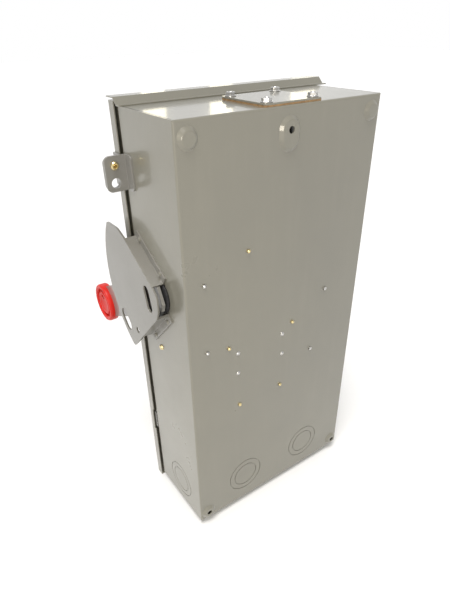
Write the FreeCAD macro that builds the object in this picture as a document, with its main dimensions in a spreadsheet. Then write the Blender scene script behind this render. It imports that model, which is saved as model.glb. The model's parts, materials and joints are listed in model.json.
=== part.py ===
import FreeCAD, Part
import math
import os
import Sketcher

# Side-operated rainproof fused safety switch, hung on a wall by its back.
# Frame: +X is the handle side, +Y points into the wall, +Z is up.
# The origin is the centre of the top mounting hole, on the wall's plane.
# Lengths are millimetres.

doc = FreeCAD.newDocument("disconnect_box")
sheet = doc.addObject("Spreadsheet::Sheet", "Sizes")

DRIVING_SIZES = {
    # enclosure: a folded sheet box, open at the front
    "box_width": 304,
    "box_height": 615,
    "box_depth": 127,
    "wall": 1.6,
    "bend": 2.6,
    "collar_inset": 7,
    "collar_reach": 9,
    "seam_gap": 1.1,
    "weld_flange": 10,
    # pressed bosses that stand the box off the wall
    "boss_rise": 4,
    "boss_radius": 12.5,
    "boss_taper": 4.4,
    "boss_crown": 2.6,
    "hanger_stretch": 5,
    # how far the screws stand out of the back
    "tip_reach": 3.7,
    "mount_drop": 26,
    "mount_hole_radius": 4.2,
    "foot_hole_x": 138,
    "foot_hole_height": 15,
    "top_boss_x": 136,
    "top_boss_height": 596,
    # concentric knockouts
    "knockout_outer": 31.35,
    "knockout_inner": 22,
    "knockout_x": 63,
    "knockout_height": 53,
    "knockout_depth": 67,
    "side_knockout_height": 45,
    "groove": 1.1,
    # cover, drip hood and hinges
    "cover_side": 3,
    "cover_front": 21,
    "cover_gap": 6,
    "cover_below": 11,
    "cover_above": 5,
    "field_inset": 30,
    "field_ends": 34,
    "field_step": 0.8,
    "hood_thick": 1.4,
    "hood_rise": 7.6,
    "hood_front": 24,
    "hood_rear": 9,
    "hood_overhang": 19,
    "hinge_x": 166,
    "hinge_y": 9,
    "hinge_pin": 2.5,
    "hinge_barrel": 5,
    "hinge_length": 60,
    # hub opening on the top wall
    "hub_side": 86,
    "hub_x": -8,
    "hub_depth": 82,
    "hub_bore": 33,
    "hub_pitch": 69,
    "hub_gasket": 2,
    "hub_plate": 2,
    # padlock hasp
    "hasp_thick": 2.5,
    "hasp_reach": 29.5,
    "hasp_low": 520,
    "hasp_high": 563,
    "hasp_hole": 6,
    "hasp_hole_x": 169.5,
    "hasp_hole_height": 530.5,
    "hasp_screw_x": 169.5,
    "hasp_screw_height": 551.5,
    # operating handle
    "pivot_depth": 62,
    "pivot_height": 394,
    "shaft_radius": 8,
    "running_gap": 0.05,
    "guard_gap": 16.5,
    "guard_thick": 2.5,
    "guard_sweep": 128.5,
    "arm_gap": 7,
    "arm_thick": 4,
    "arm_droop": 26.2,
    "arm_hub_half": 20,
    "arm_half": 25.5,
    "lock_radius": 111,
    "grip_reach": 205,
    "grip_radius": 31.3,
    "grip_gap": 2.8,
    "grip_thick": 15.8,
    "grip_rim": 7.8,
    "grip_recess": 6,
    "grip_screw_up": 10,
    # poles
    "pole_pitch": 45,
    "pole_centre": 35,
    "blade_half": 46,
    "blade_thick": 3,
    "blade_wide": 18,
    "base_front": 113,
    "lug_bore": 7,
}

for line, (alias, value) in enumerate(DRIVING_SIZES.items(), start=1):
    sheet.set(f"A{line}", alias.replace("_", " "))
    sheet.set(f"B{line}", str(value))
    sheet.setAlias(f"B{line}", alias)
doc.recompute()


class Size:
    """A length that keeps its number and the sheet formula that gives it."""

    def __init__(self, number, formula):
        self.number = number
        self.formula = formula

    def __add__(self, other):
        other = as_size(other)
        return Size(self.number + other.number, f"({self.formula} + {other.formula})")

    def __radd__(self, other):
        return as_size(other) + self

    def __sub__(self, other):
        other = as_size(other)
        return Size(self.number - other.number, f"({self.formula} - {other.formula})")

    def __rsub__(self, other):
        return as_size(other) - self

    def __mul__(self, factor):
        return Size(self.number * factor, f"({self.formula} * {factor})")

    __rmul__ = __mul__

    def __neg__(self):
        return self * -1

    def __truediv__(self, divisor):
        return Size(self.number / divisor, f"({self.formula} / {divisor})")

    def __float__(self):
        return float(self.number)


def as_size(value):
    if isinstance(value, Size):
        return value
    return Size(float(value), f"({float(value)})")


def size(alias):
    return Size(float(sheet.get(alias)), f"Sizes.{alias}")


half_width = size("box_width") / 2
wall = size("wall")
back = -size("boss_rise")
rim = back - size("box_depth")
front_of_rim = rim - size("collar_reach") * 2
roof = as_size(0) + size("mount_drop")
floor = roof - size("box_height")
inner_back = back - wall
inner_side = half_width - wall
pivot_y = rim + size("pivot_depth")
pivot_z = floor + size("pivot_height")
base_y = rim + size("base_front")

finished = []


# ---------------------------------------------------------------- helpers

def bind(item, name, value):
    item.setExpression(name, as_size(value).formula)


def settle(item, x, y, z, turn=None):
    """Put an object's own origin at x, y, z, with an optional rotation."""
    if turn is not None:
        item.Placement = FreeCAD.Placement(FreeCAD.Vector(0, 0, 0), turn)
    bind(item, "Placement.Base.x", x)
    bind(item, "Placement.Base.y", y)
    bind(item, "Placement.Base.z", z)
    return item


ALONG = {
    "x": FreeCAD.Rotation(FreeCAD.Vector(0, 1, 0), 90),
    "y": FreeCAD.Rotation(FreeCAD.Vector(1, 0, 0), -90),
    "z": FreeCAD.Rotation(),
}


def block(name, x, y, z):
    """A box between two limits on each axis."""
    item = doc.addObject("Part::Box", name)
    bind(item, "Length", x[1] - x[0])
    bind(item, "Width", y[1] - y[0])
    bind(item, "Height", z[1] - z[0])
    return settle(item, x[0], y[0], z[0])


def rod(name, x, y, z, axis, radius, length):
    """A cylinder that starts at x, y, z and runs along one axis."""
    item = doc.addObject("Part::Cylinder", name)
    bind(item, "Radius", radius)
    bind(item, "Height", length)
    return settle(item, x, y, z, ALONG[axis])


def cone(name, x, y, z, axis, wide, narrow, length):
    item = doc.addObject("Part::Cone", name)
    bind(item, "Radius1", wide)
    bind(item, "Radius2", narrow)
    bind(item, "Height", length)
    return settle(item, x, y, z, ALONG[axis])


def hexagon(name, x, y, z, axis, radius, length):
    item = doc.addObject("Part::Prism", name)
    item.Polygon = 6
    bind(item, "Circumradius", radius)
    bind(item, "Height", length)
    return settle(item, x, y, z, ALONG[axis])


def tilted_block(name, start, end, x, low, high):
    """A box whose long side runs from start to end in the YZ plane.

    low and high are its limits square to that line, to the left of its direction.
    """
    run_y = float(end[0]) - float(start[0])
    run_z = float(end[1]) - float(start[1])
    angle = math.degrees(math.atan2(run_z, run_y))
    shift = FreeCAD.Rotation(FreeCAD.Vector(1, 0, 0), angle).multVec(FreeCAD.Vector(0, 0, low))
    item = doc.addObject("Part::Box", name)
    bind(item, "Length", x[1] - x[0])
    item.Width = math.hypot(run_y, run_z)
    item.Height = high - low
    turn = FreeCAD.Rotation(FreeCAD.Vector(1, 0, 0), angle)
    return settle(item, x[0], start[0] + shift.y, start[1] + shift.z, turn)


def fused(name, items):
    item = doc.addObject("Part::MultiFuse", name)
    item.Shapes = items
    return item


def cut(name, base, tools):
    """base with every tool taken out of it."""
    item = doc.addObject("Part::Cut", name)
    item.Base = base
    item.Tool = tools[0] if len(tools) == 1 else fused(name + "_tools", tools)
    return item


def common(name, base, tool):
    item = doc.addObject("Part::Common", name)
    item.Base = base
    item.Tool = tool
    return item


def group(name, items):
    item = doc.addObject("Part::Compound", name)
    item.Links = items
    return item


def rounded(name, base, radius, chosen):
    """base with a fillet on each edge whose middle point is chosen."""
    doc.recompute()
    item = doc.addObject("Part::Fillet", name)
    item.Base = base
    picks = []
    for number, edge in enumerate(base.Shape.Edges, start=1):
        middle = edge.valueAt((edge.FirstParameter + edge.LastParameter) / 2)
        if chosen(edge, middle):
            picks.append((number, float(radius), float(radius)))
    if not picks:
        raise ValueError(f"{name}: no edge to round")
    item.Edges = picks
    return item


def runs_along(edge, axis):
    start, end = edge.Vertexes[0].Point, edge.Vertexes[-1].Point
    run = end - start
    return len(edge.Vertexes) == 2 and abs(abs(getattr(run, axis)) - run.Length) < 1e-6


def finish(item):
    """Mark an object as a finished sub-part, named after its label."""
    item.Label = item.Name
    finished.append(item)
    return item


# ------------------------------------------------------- sketched bodies

def new_body(name):
    return doc.addObject("PartDesign::Body", name)


def new_sketch(body, name, plane, offset=0):
    sketch = body.newObject("Sketcher::SketchObject", name)
    origin_plane = [part for part in body.Origin.OriginFeatures if part.Role == plane][0]
    sketch.AttachmentSupport = [(origin_plane, "")]
    sketch.MapMode = "FlatFace"
    bind(sketch, "AttachmentOffset.Base.z", offset)
    return sketch


def pin_point(sketch, line, end, across, upward):
    """Hold one end of a line at sheet-bound coordinates."""
    for kind, value in (("DistanceX", across), ("DistanceY", upward)):
        value = as_size(value)
        row = sketch.addConstraint(Sketcher.Constraint(kind, -1, 1, line, end, value.number))
        sketch.setExpression(f"Constraints[{row}]", value.formula)


def draw_outline(sketch, corners, arc=None):
    """A closed outline through the corners.

    arc is (index, middle, radius) for the one side that is an arc, if any.
    """
    points = [FreeCAD.Vector(float(across), float(upward), 0) for across, upward in corners]
    first = sketch.GeometryCount
    count = len(points)
    for index, start in enumerate(points):
        end = points[(index + 1) % count]
        if arc and index == arc[0]:
            middle = FreeCAD.Vector(float(arc[1][0]), float(arc[1][1]), 0)
            sketch.addGeometry(Part.Arc(start, middle, end), False)
        else:
            sketch.addGeometry(Part.LineSegment(start, end), False)
    if arc:
        curve = sketch.Geometry[first + arc[0]]
        swapped = curve.StartPoint.distanceToPoint(points[arc[0]]) > 1e-4
    for index in range(count):
        line = first + index
        following = first + (index + 1) % count
        line_end, next_start = 2, 1
        if arc and index == arc[0] and swapped:
            line_end = 1
        if arc and (index + 1) % count == arc[0] and swapped:
            next_start = 2
        sketch.addConstraint(Sketcher.Constraint("Coincident", line, line_end, following, next_start))
        pin_point(sketch, following, next_start, *corners[(index + 1) % count])
    if arc:
        radius = as_size(arc[2])
        row = sketch.addConstraint(Sketcher.Constraint("Radius", first + arc[0], radius.number))
        sketch.setExpression(f"Constraints[{row}]", radius.formula)


def draw_circle(sketch, across, upward, radius):
    across, upward, radius = as_size(across), as_size(upward), as_size(radius)
    centre = FreeCAD.Vector(across.number, upward.number, 0)
    circle = sketch.addGeometry(Part.Circle(centre, FreeCAD.Vector(0, 0, 1), radius.number), False)
    row = sketch.addConstraint(Sketcher.Constraint("Radius", circle, radius.number))
    sketch.setExpression(f"Constraints[{row}]", radius.formula)
    pin_point(sketch, circle, 3, across, upward)


def draw_rectangle(sketch, across, upward):
    draw_outline(sketch, [(across[0], upward[0]), (across[1], upward[0]),
                          (across[1], upward[1]), (across[0], upward[1])])


def draw_slot(sketch, start, end, radius):
    """A straight slot between two centres, with round ends."""
    run = FreeCAD.Vector(end[0] - start[0], end[1] - start[1], 0)
    side = FreeCAD.Vector(-run.y, run.x, 0).normalize() * radius
    tip = FreeCAD.Vector(run).normalize() * radius
    first = FreeCAD.Vector(start[0], start[1], 0)
    last = FreeCAD.Vector(end[0], end[1], 0)
    sketch.addGeometry(Part.LineSegment(first - side, last - side), False)
    sketch.addGeometry(Part.Arc(last - side, last + tip, last + side), False)
    sketch.addGeometry(Part.LineSegment(last + side, first + side), False)
    sketch.addGeometry(Part.Arc(first + side, first - tip, first - side), False)


def add_pad(body, sketch, length, reverse=False):
    pad = body.newObject("PartDesign::Pad", sketch.Name + "_pad")
    pad.Profile = sketch
    bind(pad, "Length", length)
    pad.Reversed = reverse
    sketch.Visibility = False
    return pad


def add_pocket(body, sketch):
    """Cut a sketch through the whole body, both ways, and test that it cut."""
    doc.recompute()
    before = body.Shape.Volume
    pocket = body.newObject("PartDesign::Pocket", sketch.Name + "_pocket")
    pocket.Profile = sketch
    pocket.Type = "ThroughAll"
    pocket.Midplane = True
    doc.recompute()
    if body.Shape.Volume > before - 1e-3:
        raise ValueError(f"{sketch.Name}: the pocket cut nothing")
    return pocket


def add_fillet(body, base, radius, chosen):
    doc.recompute()
    fillet = body.newObject("PartDesign::Fillet", base.Name + "_round")
    names = []
    for number, edge in enumerate(base.Shape.Edges, start=1):
        middle = edge.valueAt((edge.FirstParameter + edge.LastParameter) / 2)
        if chosen(edge, middle):
            names.append(f"Edge{number}")
    fillet.Base = (base, names)
    bind(fillet, "Radius", radius)
    return fillet


# -------------------------------------------------------------- enclosure

# Fasteners that come through the back wall: x and height above the floor.
BASE_SCREWS = {"line_centre": (59, 454), "load_left": (-21.5, 321), "load_right": (91, 320),
               "fuse_left": (-3, 213), "fuse_right": (74, 212)}
FRAME_SCREWS = {"upper": (125.5, 426), "lower": (125.5, 327)}
PLATE_RIVETS = {"upper_left": (-4, 306), "upper_right": (75.6, 305),
                "lower_left": (-5, 271), "lower_right": (75.6, 271)}
GROUND_SCREWS = {"bar": (-82, 357), "lug": (-62, 257)}
BACK_SCREW_RADIUS = 2.5
SCREW_POINT = 1.6
SCREW_HEAD_RADIUS = 4.6
SCREW_HEAD_HEIGHT = 3
FRAME_LEAF = 3
PLATE_LEAF = 3
GROUND_INSETS = {"bar": 8, "lug": 5}
RIVET_RADIUS = 2.0
SIDE_SCREW = (47.4, 303)
GUARD_RIVET_RADIUS = 1.9
HUB_SCREW_RADIUS = 2.5
BEARING_SLEEVE = 11
GROOVE_SHARE = 0.7
SLIP = 0.1


def frustum(name, near, far, length):
    """A solid from one rectangle to another along its own Y.

    near and far are the rectangles' limits: left, right, low and high.
    """
    item = doc.addObject("Part::Wedge", name)
    limits = dict(zip(("Xmin", "Xmax", "Zmin", "Zmax"), near))
    limits.update(zip(("X2min", "X2max", "Z2min", "Z2max"), far))
    limits.update(Ymin=0, Ymax=length)
    for limit, value in limits.items():
        bind(item, limit, value)
    return item


def emboss(name, x, z, radius, stretch, thinner):
    """A pressed boss on the back wall: a frustum, stretched upwards into an obround.

    thinner shrinks it to the hollow that the pressing leaves inside.
    """
    base_y = back - thinner
    wide = radius - thinner
    narrow = wide - size("boss_taper")
    rise = size("boss_rise")
    if not stretch:
        return cone(name, x, base_y, z, "y", wide, narrow, rise)
    middle = frustum(name + "_middle", (-wide, wide, -stretch, stretch),
                     (-narrow, narrow, -stretch, stretch), rise)
    settle(middle, x, base_y, z)
    lower = cone(name + "_lower", x, base_y, z - stretch, "y", wide, narrow, rise)
    upper = cone(name + "_upper", x, base_y, z + stretch, "y", wide, narrow, rise)
    item = fused(name, [middle, lower, upper])
    item.Refine = True
    return item


def ring_groove(name, x, y, z, axis, radius):
    """A sheared circle that goes most of the way through the sheet, from outside."""
    depth = wall * GROOVE_SHARE
    outer = rod(name + "_outer", x, y, z, axis, radius, depth)
    inner = rod(name + "_inner", x, y, z, axis, radius - size("groove"), depth)
    return cut(name, outer, [inner])


def knockout(name, x, y, z, axis):
    return [ring_groove(f"{name}_{ring}", x, y, z, axis, size(f"knockout_{ring}"))
            for ring in ("outer", "inner")]


def folded_shell():
    """The five walls with rounded bends where they meet the back."""
    outer = block("shell_outer", (-half_width, half_width), (rim, back), (floor, roof))
    on_back = float(back)
    outer_round = rounded("shell_bends", outer, size("bend"),
                          lambda edge, middle: abs(middle.y - on_back) < 0.01)
    cavity = block("shell_cavity", (-inner_side, inner_side),
                   (front_of_rim, inner_back), (floor + wall, roof - wall))
    on_inner_back = float(inner_back)
    cavity_round = rounded("shell_inner_bends", cavity, size("bend") - wall,
                           lambda edge, middle: abs(middle.y - on_inner_back) < 0.01)
    return cut("shell", outer_round, [cavity_round])


def front_collar():
    """The front rim turns in, then forward as a collar that the cover closes over."""
    inset = size("collar_inset")
    mouth_inset = inset + wall
    lip = block("rim_lip", (-half_width, half_width), (rim, rim + wall), (floor, roof))
    collar = block("rim_collar", (inset - half_width, half_width - inset),
                   (rim - size("collar_reach"), rim + wall), (floor + inset, roof - inset))
    mouth = block("rim_mouth", (mouth_inset - half_width, half_width - mouth_inset),
                  (front_of_rim, rim + wall * 2), (floor + mouth_inset, roof - mouth_inset))
    return cut("rim_frame", fused("rim_solid", [lip, collar]), [mouth])


def boss_places():
    """Name, x, z, radius and stretch of each pressed boss."""
    places = []
    for side in (-1, 1):
        places.append((f"top_boss_{side + 1}", size("top_boss_x") * side,
                       floor + size("top_boss_height"), size("boss_radius"), 0))
        places.append((f"foot_boss_{side + 1}", size("foot_hole_x") * side,
                       floor + size("foot_hole_height"), size("boss_radius"), 0))
    places.append(("hanger_boss", as_size(0), -size("hanger_stretch"),
                   size("boss_radius") + 3, size("hanger_stretch")))
    return places


def pressed_bosses():
    """The bosses with a rounded crown, and the hollows that they leave inside."""
    bosses, hollows = [], []
    for name, x, z, radius, stretch in boss_places():
        raw = emboss(name + "_raw", x, z, radius, stretch, as_size(0))
        bosses.append(rounded(name, raw, size("boss_crown"),
                              lambda edge, middle: abs(middle.y) < 0.01))
        hollows.append(emboss(name + "_hollow", x, z, radius, stretch, wall))
    return bosses, hollows


def back_wall_tools():
    hole = size("mount_hole_radius")
    through = wall * 8
    start = inner_back - wall
    tools = [rod("hanger_hole", 0, start, 0, "y", hole, through)]
    for side in (-1, 1):
        tools.append(rod(f"foot_hole_{side + 1}", size("foot_hole_x") * side, start,
                         floor + size("foot_hole_height"), "y", hole, through))
    holes = [(place, BACK_SCREW_RADIUS) for places in (BASE_SCREWS, FRAME_SCREWS, GROUND_SCREWS)
             for place in places.values()]
    holes += [(place, RIVET_RADIUS) for place in PLATE_RIVETS.values()]
    for index, ((x, height), radius) in enumerate(holes):
        tools.append(rod(f"back_hole_{index}", x, start, floor + height, "y", radius + SLIP, wall * 3))
    return tools


def knockout_tools():
    tools = []
    groove_y = back - wall * GROOVE_SHARE
    middle_y = rim + size("knockout_depth")
    for side in (-1, 1):
        tools += knockout(f"back_knockout_{side + 1}", size("knockout_x") * side, groove_y,
                          floor + size("knockout_height"), "y")
        tools += knockout(f"floor_knockout_{side + 1}", size("knockout_x") * side, middle_y, floor, "z")
    side_z = floor + size("side_knockout_height")
    tools += knockout("right_knockout", half_width - wall * GROOVE_SHARE, middle_y, side_z, "x")
    tools += knockout("left_knockout", -half_width, middle_y, side_z, "x")
    return tools


def roof_and_side_tools():
    through = wall * 3
    tools = [rod("hub_opening", size("hub_x"), rim + size("hub_depth"), roof - through / 2, "z",
                 size("hub_bore"), through)]
    for index, (x, y) in enumerate(hub_screw_places()):
        tools.append(rod(f"hub_screw_hole_{index}", x, y, roof - through / 2, "z",
                         HUB_SCREW_RADIUS + SLIP, through))
    start = half_width - through / 2
    tools.append(rod("shaft_opening", start, pivot_y, pivot_z, "x", BEARING_SLEEVE + SLIP, through))
    tools.append(rod("side_screw_hole", start, rim + SIDE_SCREW[0], floor + SIDE_SCREW[1],
                     "x", BACK_SCREW_RADIUS + SLIP, through))
    for index, (y, z) in enumerate(guard_rivet_places()):
        tools.append(rod(f"guard_rivet_hole_{index}", start, y, z, "x", GUARD_RIVET_RADIUS + SLIP, through))
    return tools


def corner_strips(name, low, high, depth, upright):
    """Blocks on both sides of the shell, between two distances from its middle."""
    return [block(f"{name}_right", (low, high), depth, upright),
            block(f"{name}_left", (-high, -low), depth, upright)]


def make_enclosure():
    """The box as five panels, which part on the mitres of its bends.

    Each side wall runs the full height, with flanges that the roof and the floor are
    welded to, and an open seam beside it on the outside.
    """
    bosses, hollows = pressed_bosses()
    solid = fused("enclosure_solid", [folded_shell(), front_collar()] + bosses)
    skins = {"roof": (roof - wall, roof + 1), "floor": (floor - 1, floor + wall)}
    seam_depth = (rim + wall * 2, back - size("bend") * 2)
    seams = []
    for end, upright in skins.items():
        seams += corner_strips(f"{end}_seam", inner_side - size("seam_gap"), inner_side,
                               seam_depth, upright)
    tools = hollows + back_wall_tools() + knockout_tools() + roof_and_side_tools() + seams
    whole = cut("enclosure_whole", solid, tools)

    deep = size("collar_inset") + wall * 3
    beyond = size("boss_rise") + 1
    low, high = (floor + deep, floor - beyond), (roof - deep, roof + beyond)
    reach = (half_width - deep, half_width + beyond)
    rear = (back - deep, back + beyond)
    regions = {}
    for index, (end, turn, place) in enumerate((
            ("back", 0, (0, back - deep, 0)), ("roof", 90, (0, 0, roof - deep)),
            ("floor", -90, (0, 0, floor + deep)))):
        if end == "back":
            near, far = [(-reach[i], reach[i], low[i], high[i]) for i in (0, 1)]
        elif end == "roof":
            near, far = [(-reach[i], reach[i], -rear[i], -front_of_rim) for i in (0, 1)]
        else:
            near, far = [(-reach[i], reach[i], front_of_rim, rear[i]) for i in (0, 1)]
        regions[end] = settle(frustum(f"{end}_region", near, far, deep + beyond), *place,
                              FreeCAD.Rotation(FreeCAD.Vector(1, 0, 0), turn))
    for side, turn, x in (("right", -90, reach[0]), ("left", 90, -reach[0])):
        if side == "right":
            near, far = [(-rear[i], -front_of_rim, low[i], high[i]) for i in (0, 1)]
        else:
            near, far = [(front_of_rim, rear[i], low[i], high[i]) for i in (0, 1)]
        regions[side] = settle(frustum(f"{side}_region", near, far, deep + beyond), x, 0, 0,
                               FreeCAD.Rotation(FreeCAD.Vector(0, 0, 1), turn))

    edge_depth = (rim + wall, back - size("bend"))
    edges = {end: corner_strips(f"{end}_edge", inner_side, half_width + 1, edge_depth, upright)
             for end, upright in skins.items()}
    flange = size("weld_flange")
    flanges = [corner_strips(f"{end}_flange", inner_side - flange, inner_side, seam_depth, upright)
               for end, upright in (("roof", (roof - wall * 2, roof - wall)),
                                    ("floor", (floor + wall, floor + wall * 2)))]
    finish(common("box_back", whole, regions["back"]))
    for end in skins:
        finish(common(f"box_{end}", whole, cut(f"{end}_zone", regions[end], edges[end])))
    for index, side in enumerate(("right", "left")):
        zone = fused(f"{side}_zone", [regions[side]] + [edges[end][index] for end in skins])
        panel = common(f"{side}_panel", whole, zone)
        finish(fused(f"box_{side}_wall", [panel] + [pair[index] for pair in flanges]))


def hub_screw_places():
    hub_y = rim + size("hub_depth")
    reach = size("hub_pitch") / 2
    return [(size("hub_x") + reach * sx, hub_y + reach * sy) for sx in (-1, 1) for sy in (-1, 1)]


def make_hub_closure():
    side = size("hub_side") / 2
    hub_y = rim + size("hub_depth")
    levels = {"hub_gasket": (roof, roof + size("hub_gasket")),
              "hub_plate": (roof + size("hub_gasket"), roof + size("hub_gasket") + size("hub_plate"))}
    for name, (low, high) in levels.items():
        body = new_body(name)
        sketch = new_sketch(body, name + "_outline", "XY_Plane")
        draw_rectangle(sketch, (-side, side), (-side, side))
        if name == "hub_gasket":
            draw_circle(sketch, 0, 0, size("hub_bore"))
        pad = add_pad(body, sketch, high - low)
        add_fillet(body, pad, 5 if name == "hub_plate" else 4,
                   lambda edge, middle: runs_along(edge, "z") and abs(middle.x) > side.number - 1)
        holes = new_sketch(body, name + "_holes", "XY_Plane")
        reach = size("hub_pitch") / 2
        for sx in (-1, 1):
            for sy in (-1, 1):
                draw_circle(holes, reach * sx, reach * sy, HUB_SCREW_RADIUS + SLIP)
        add_pocket(body, holes)
        settle(body, size("hub_x"), hub_y, low)
        finish(body)

    screws = []
    seat = roof + size("hub_gasket") + size("hub_plate")
    for index, (x, y) in enumerate(hub_screw_places()):
        shank = rod(f"hub_shank_{index}", x, y, roof - 9, "z", HUB_SCREW_RADIUS, seat - roof + 9)
        washer = rod(f"hub_washer_{index}", x, y, seat, "z", 7.2, 1.2)
        head = hexagon(f"hub_head_{index}", x, y, seat + 1.2, "z", 5.6, 4.2)
        slot = block(f"hub_slot_{index}", (x - 6, x + 6), (y - 0.6, y + 0.6), (seat + 4.2, seat + 6))
        screws.append(cut(f"hub_screw_{index}", fused(f"hub_screw_solid_{index}", [shank, washer, head]),
                          [slot]))
    finish(group("hub_screws", screws))


def make_drip_hood():
    """A folded strip welded to the roof that keeps rain out of the cover's top gap."""
    thick = size("hood_thick")
    rise = size("hood_rise")
    front = -size("hood_front")
    rear = size("hood_rear")
    foot = as_size(2)
    knee = foot - rise
    body = new_body("drip_hood")
    sketch = new_sketch(body, "drip_hood_profile", "YZ_Plane")
    draw_outline(sketch, [(rear, 0), (rear, thick), (foot - thick / 2, thick),
                          (knee - thick / 2, rise + thick), (front, rise + thick),
                          (front, rise), (knee, rise), (foot, 0)])
    left = half_width + size("hood_overhang")
    right = half_width + size("cover_side")
    add_pad(body, sketch, left + right)
    settle(body, -left, rim, roof)
    finish(body)


# ------------------------------------------------------------------ cover

def make_cover():
    side = half_width + size("cover_side")
    front = rim - size("cover_front")
    rear = rim - size("cover_gap")
    low = floor - size("cover_below")
    high = roof + size("cover_above")
    outer = block("cover_outer", (-side, side), (front, rear), (low, high))
    on_front = float(front)
    outer_round = rounded("cover_bends", outer, size("bend"),
                          lambda edge, middle: abs(middle.y - on_front) < 0.01)
    cavity = block("cover_cavity", (wall - side, side - wall), (front + wall, rear + wall * 3),
                   (low + wall, high - wall))
    on_inner = float(front + wall)
    cavity_round = rounded("cover_inner_bends", cavity, size("bend") - wall,
                           lambda edge, middle: abs(middle.y - on_inner) < 0.01)
    catch_notch = block("catch_notch", (side - 4, side + 4), (rear - 4, rear + 1),
                        (floor + 102, floor + 146))
    # A shallow pressed field stiffens the panel.
    inset = side - size("field_inset")
    step = size("field_step")
    field = block("cover_field", (-inset, inset), (front - 1, front + step),
                  (low + size("field_ends"), high - size("field_ends")))
    beyond = inset + wall
    field_back = block("cover_field_back", (-beyond, beyond), (front + wall - SLIP, front + wall + step),
                       (low + size("field_ends") - wall, high - size("field_ends") + wall))
    panel = cut("cover_pan", outer_round, [cavity_round, catch_notch, field])
    finish(fused("cover_panel", [panel, field_back]))


def make_cover_catch():
    """A spring clip on the collar that snaps behind the cover's side flange."""
    face = half_width + 0.2
    low = floor + 108
    high = floor + 140
    root = half_width - size("collar_inset")
    foot = block("catch_foot", (root, root + 1.2), (rim - 8.6, rim - 0.2), (low, high))
    web = block("catch_web", (root, face), (rim - 8.6, rim - 7.4), (low, high))
    face_plate = block("catch_face", (face - 1.2, face), (rim - 8.6, rim - 3.4), (low, high))
    window = block("catch_window", (face - 3, face + 2), (rim - 6.6, rim - 4.8), (low + 7, high - 7))
    finish(cut("cover_catch", fused("catch_solid", [foot, web, face_plate]), [window]))


HINGE_HEIGHTS = (88, 308, 528)


def make_hinges():
    """Three lift-out hinges outside the left wall: box leaf, cover leaf and pin."""
    axis_x = -size("hinge_x")
    axis_y = rim - size("hinge_y")
    barrel = size("hinge_barrel")
    pin = size("hinge_pin")
    length = size("hinge_length")
    box_leaves, cover_leaves, pins = [], [], []
    thick = 2
    side = half_width + size("cover_side")
    for index, height in enumerate(HINGE_HEIGHTS):
        low = floor + height - length / 2
        middle = floor + height
        high = low + length
        foot = block(f"box_leaf_foot_{index}", (-half_width - thick, -half_width), (rim + 3, rim + 28),
                     (low, middle - 0.4))
        knuckle = rod(f"box_knuckle_{index}", axis_x, axis_y, low, "z", barrel, length / 2 - 0.4)
        arm = box_leaf_arm(f"box_leaf_arm_{index}", axis_x, axis_y, low, length / 2 - 0.4)
        bore = rod(f"box_knuckle_bore_{index}", axis_x, axis_y, low - 1, "z", pin, length)
        box_leaves.append(cut(f"box_leaf_{index}", fused(f"box_leaf_solid_{index}", [foot, arm, knuckle]),
                              [bore]))

        leaf = block(f"cover_leaf_foot_{index}", (-side - thick, -side), (rim - 20, rim - 12),
                     (middle + 0.4, high))
        bridge = block(f"cover_leaf_bridge_{index}", (axis_x, -side),
                       (axis_y - barrel, axis_y - barrel + thick), (middle + 0.4, high))
        top_knuckle = rod(f"cover_knuckle_{index}", axis_x, axis_y, middle + 0.4, "z", barrel,
                          length / 2 - 0.4)
        top_bore = rod(f"cover_knuckle_bore_{index}", axis_x, axis_y, middle - 1, "z",
                       pin + size("running_gap"), length)
        cover_leaves.append(cut(f"cover_leaf_{index}",
                                fused(f"cover_leaf_solid_{index}", [leaf, bridge, top_knuckle]), [top_bore]))

        stem = rod(f"hinge_stem_{index}", axis_x, axis_y, low - 1.5, "z", pin, length + 3)
        head = rod(f"hinge_head_{index}", axis_x, axis_y, low - 3, "z", barrel - 1, 3)
        pins.append(fused(f"hinge_pin_{index}", [stem, head]))
    finish(group("hinge_box_leaves", box_leaves))
    finish(group("hinge_cover_leaves", cover_leaves))
    finish(group("hinge_pins", pins))


def box_leaf_arm(name, axis_x, axis_y, low, length):
    """The slanted stretch of a box leaf, from the side wall out to its knuckle."""
    outer = -half_width
    corners = [(outer, rim + 5), (outer - 2, rim + 5), (axis_x, axis_y + 5), (axis_x, axis_y + 2.8),
               (outer - 1, rim + 1), (outer, rim + 2)]
    points = [FreeCAD.Vector(float(x), float(y), float(low)) for x, y in corners]
    face = Part.Face(Part.makePolygon(points + points[:1]))
    item = doc.addObject("Part::Feature", name)
    item.Shape = face.extrude(FreeCAD.Vector(0, 0, float(length)))
    return item


# ------------------------------------------------------------------- hasp

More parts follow.
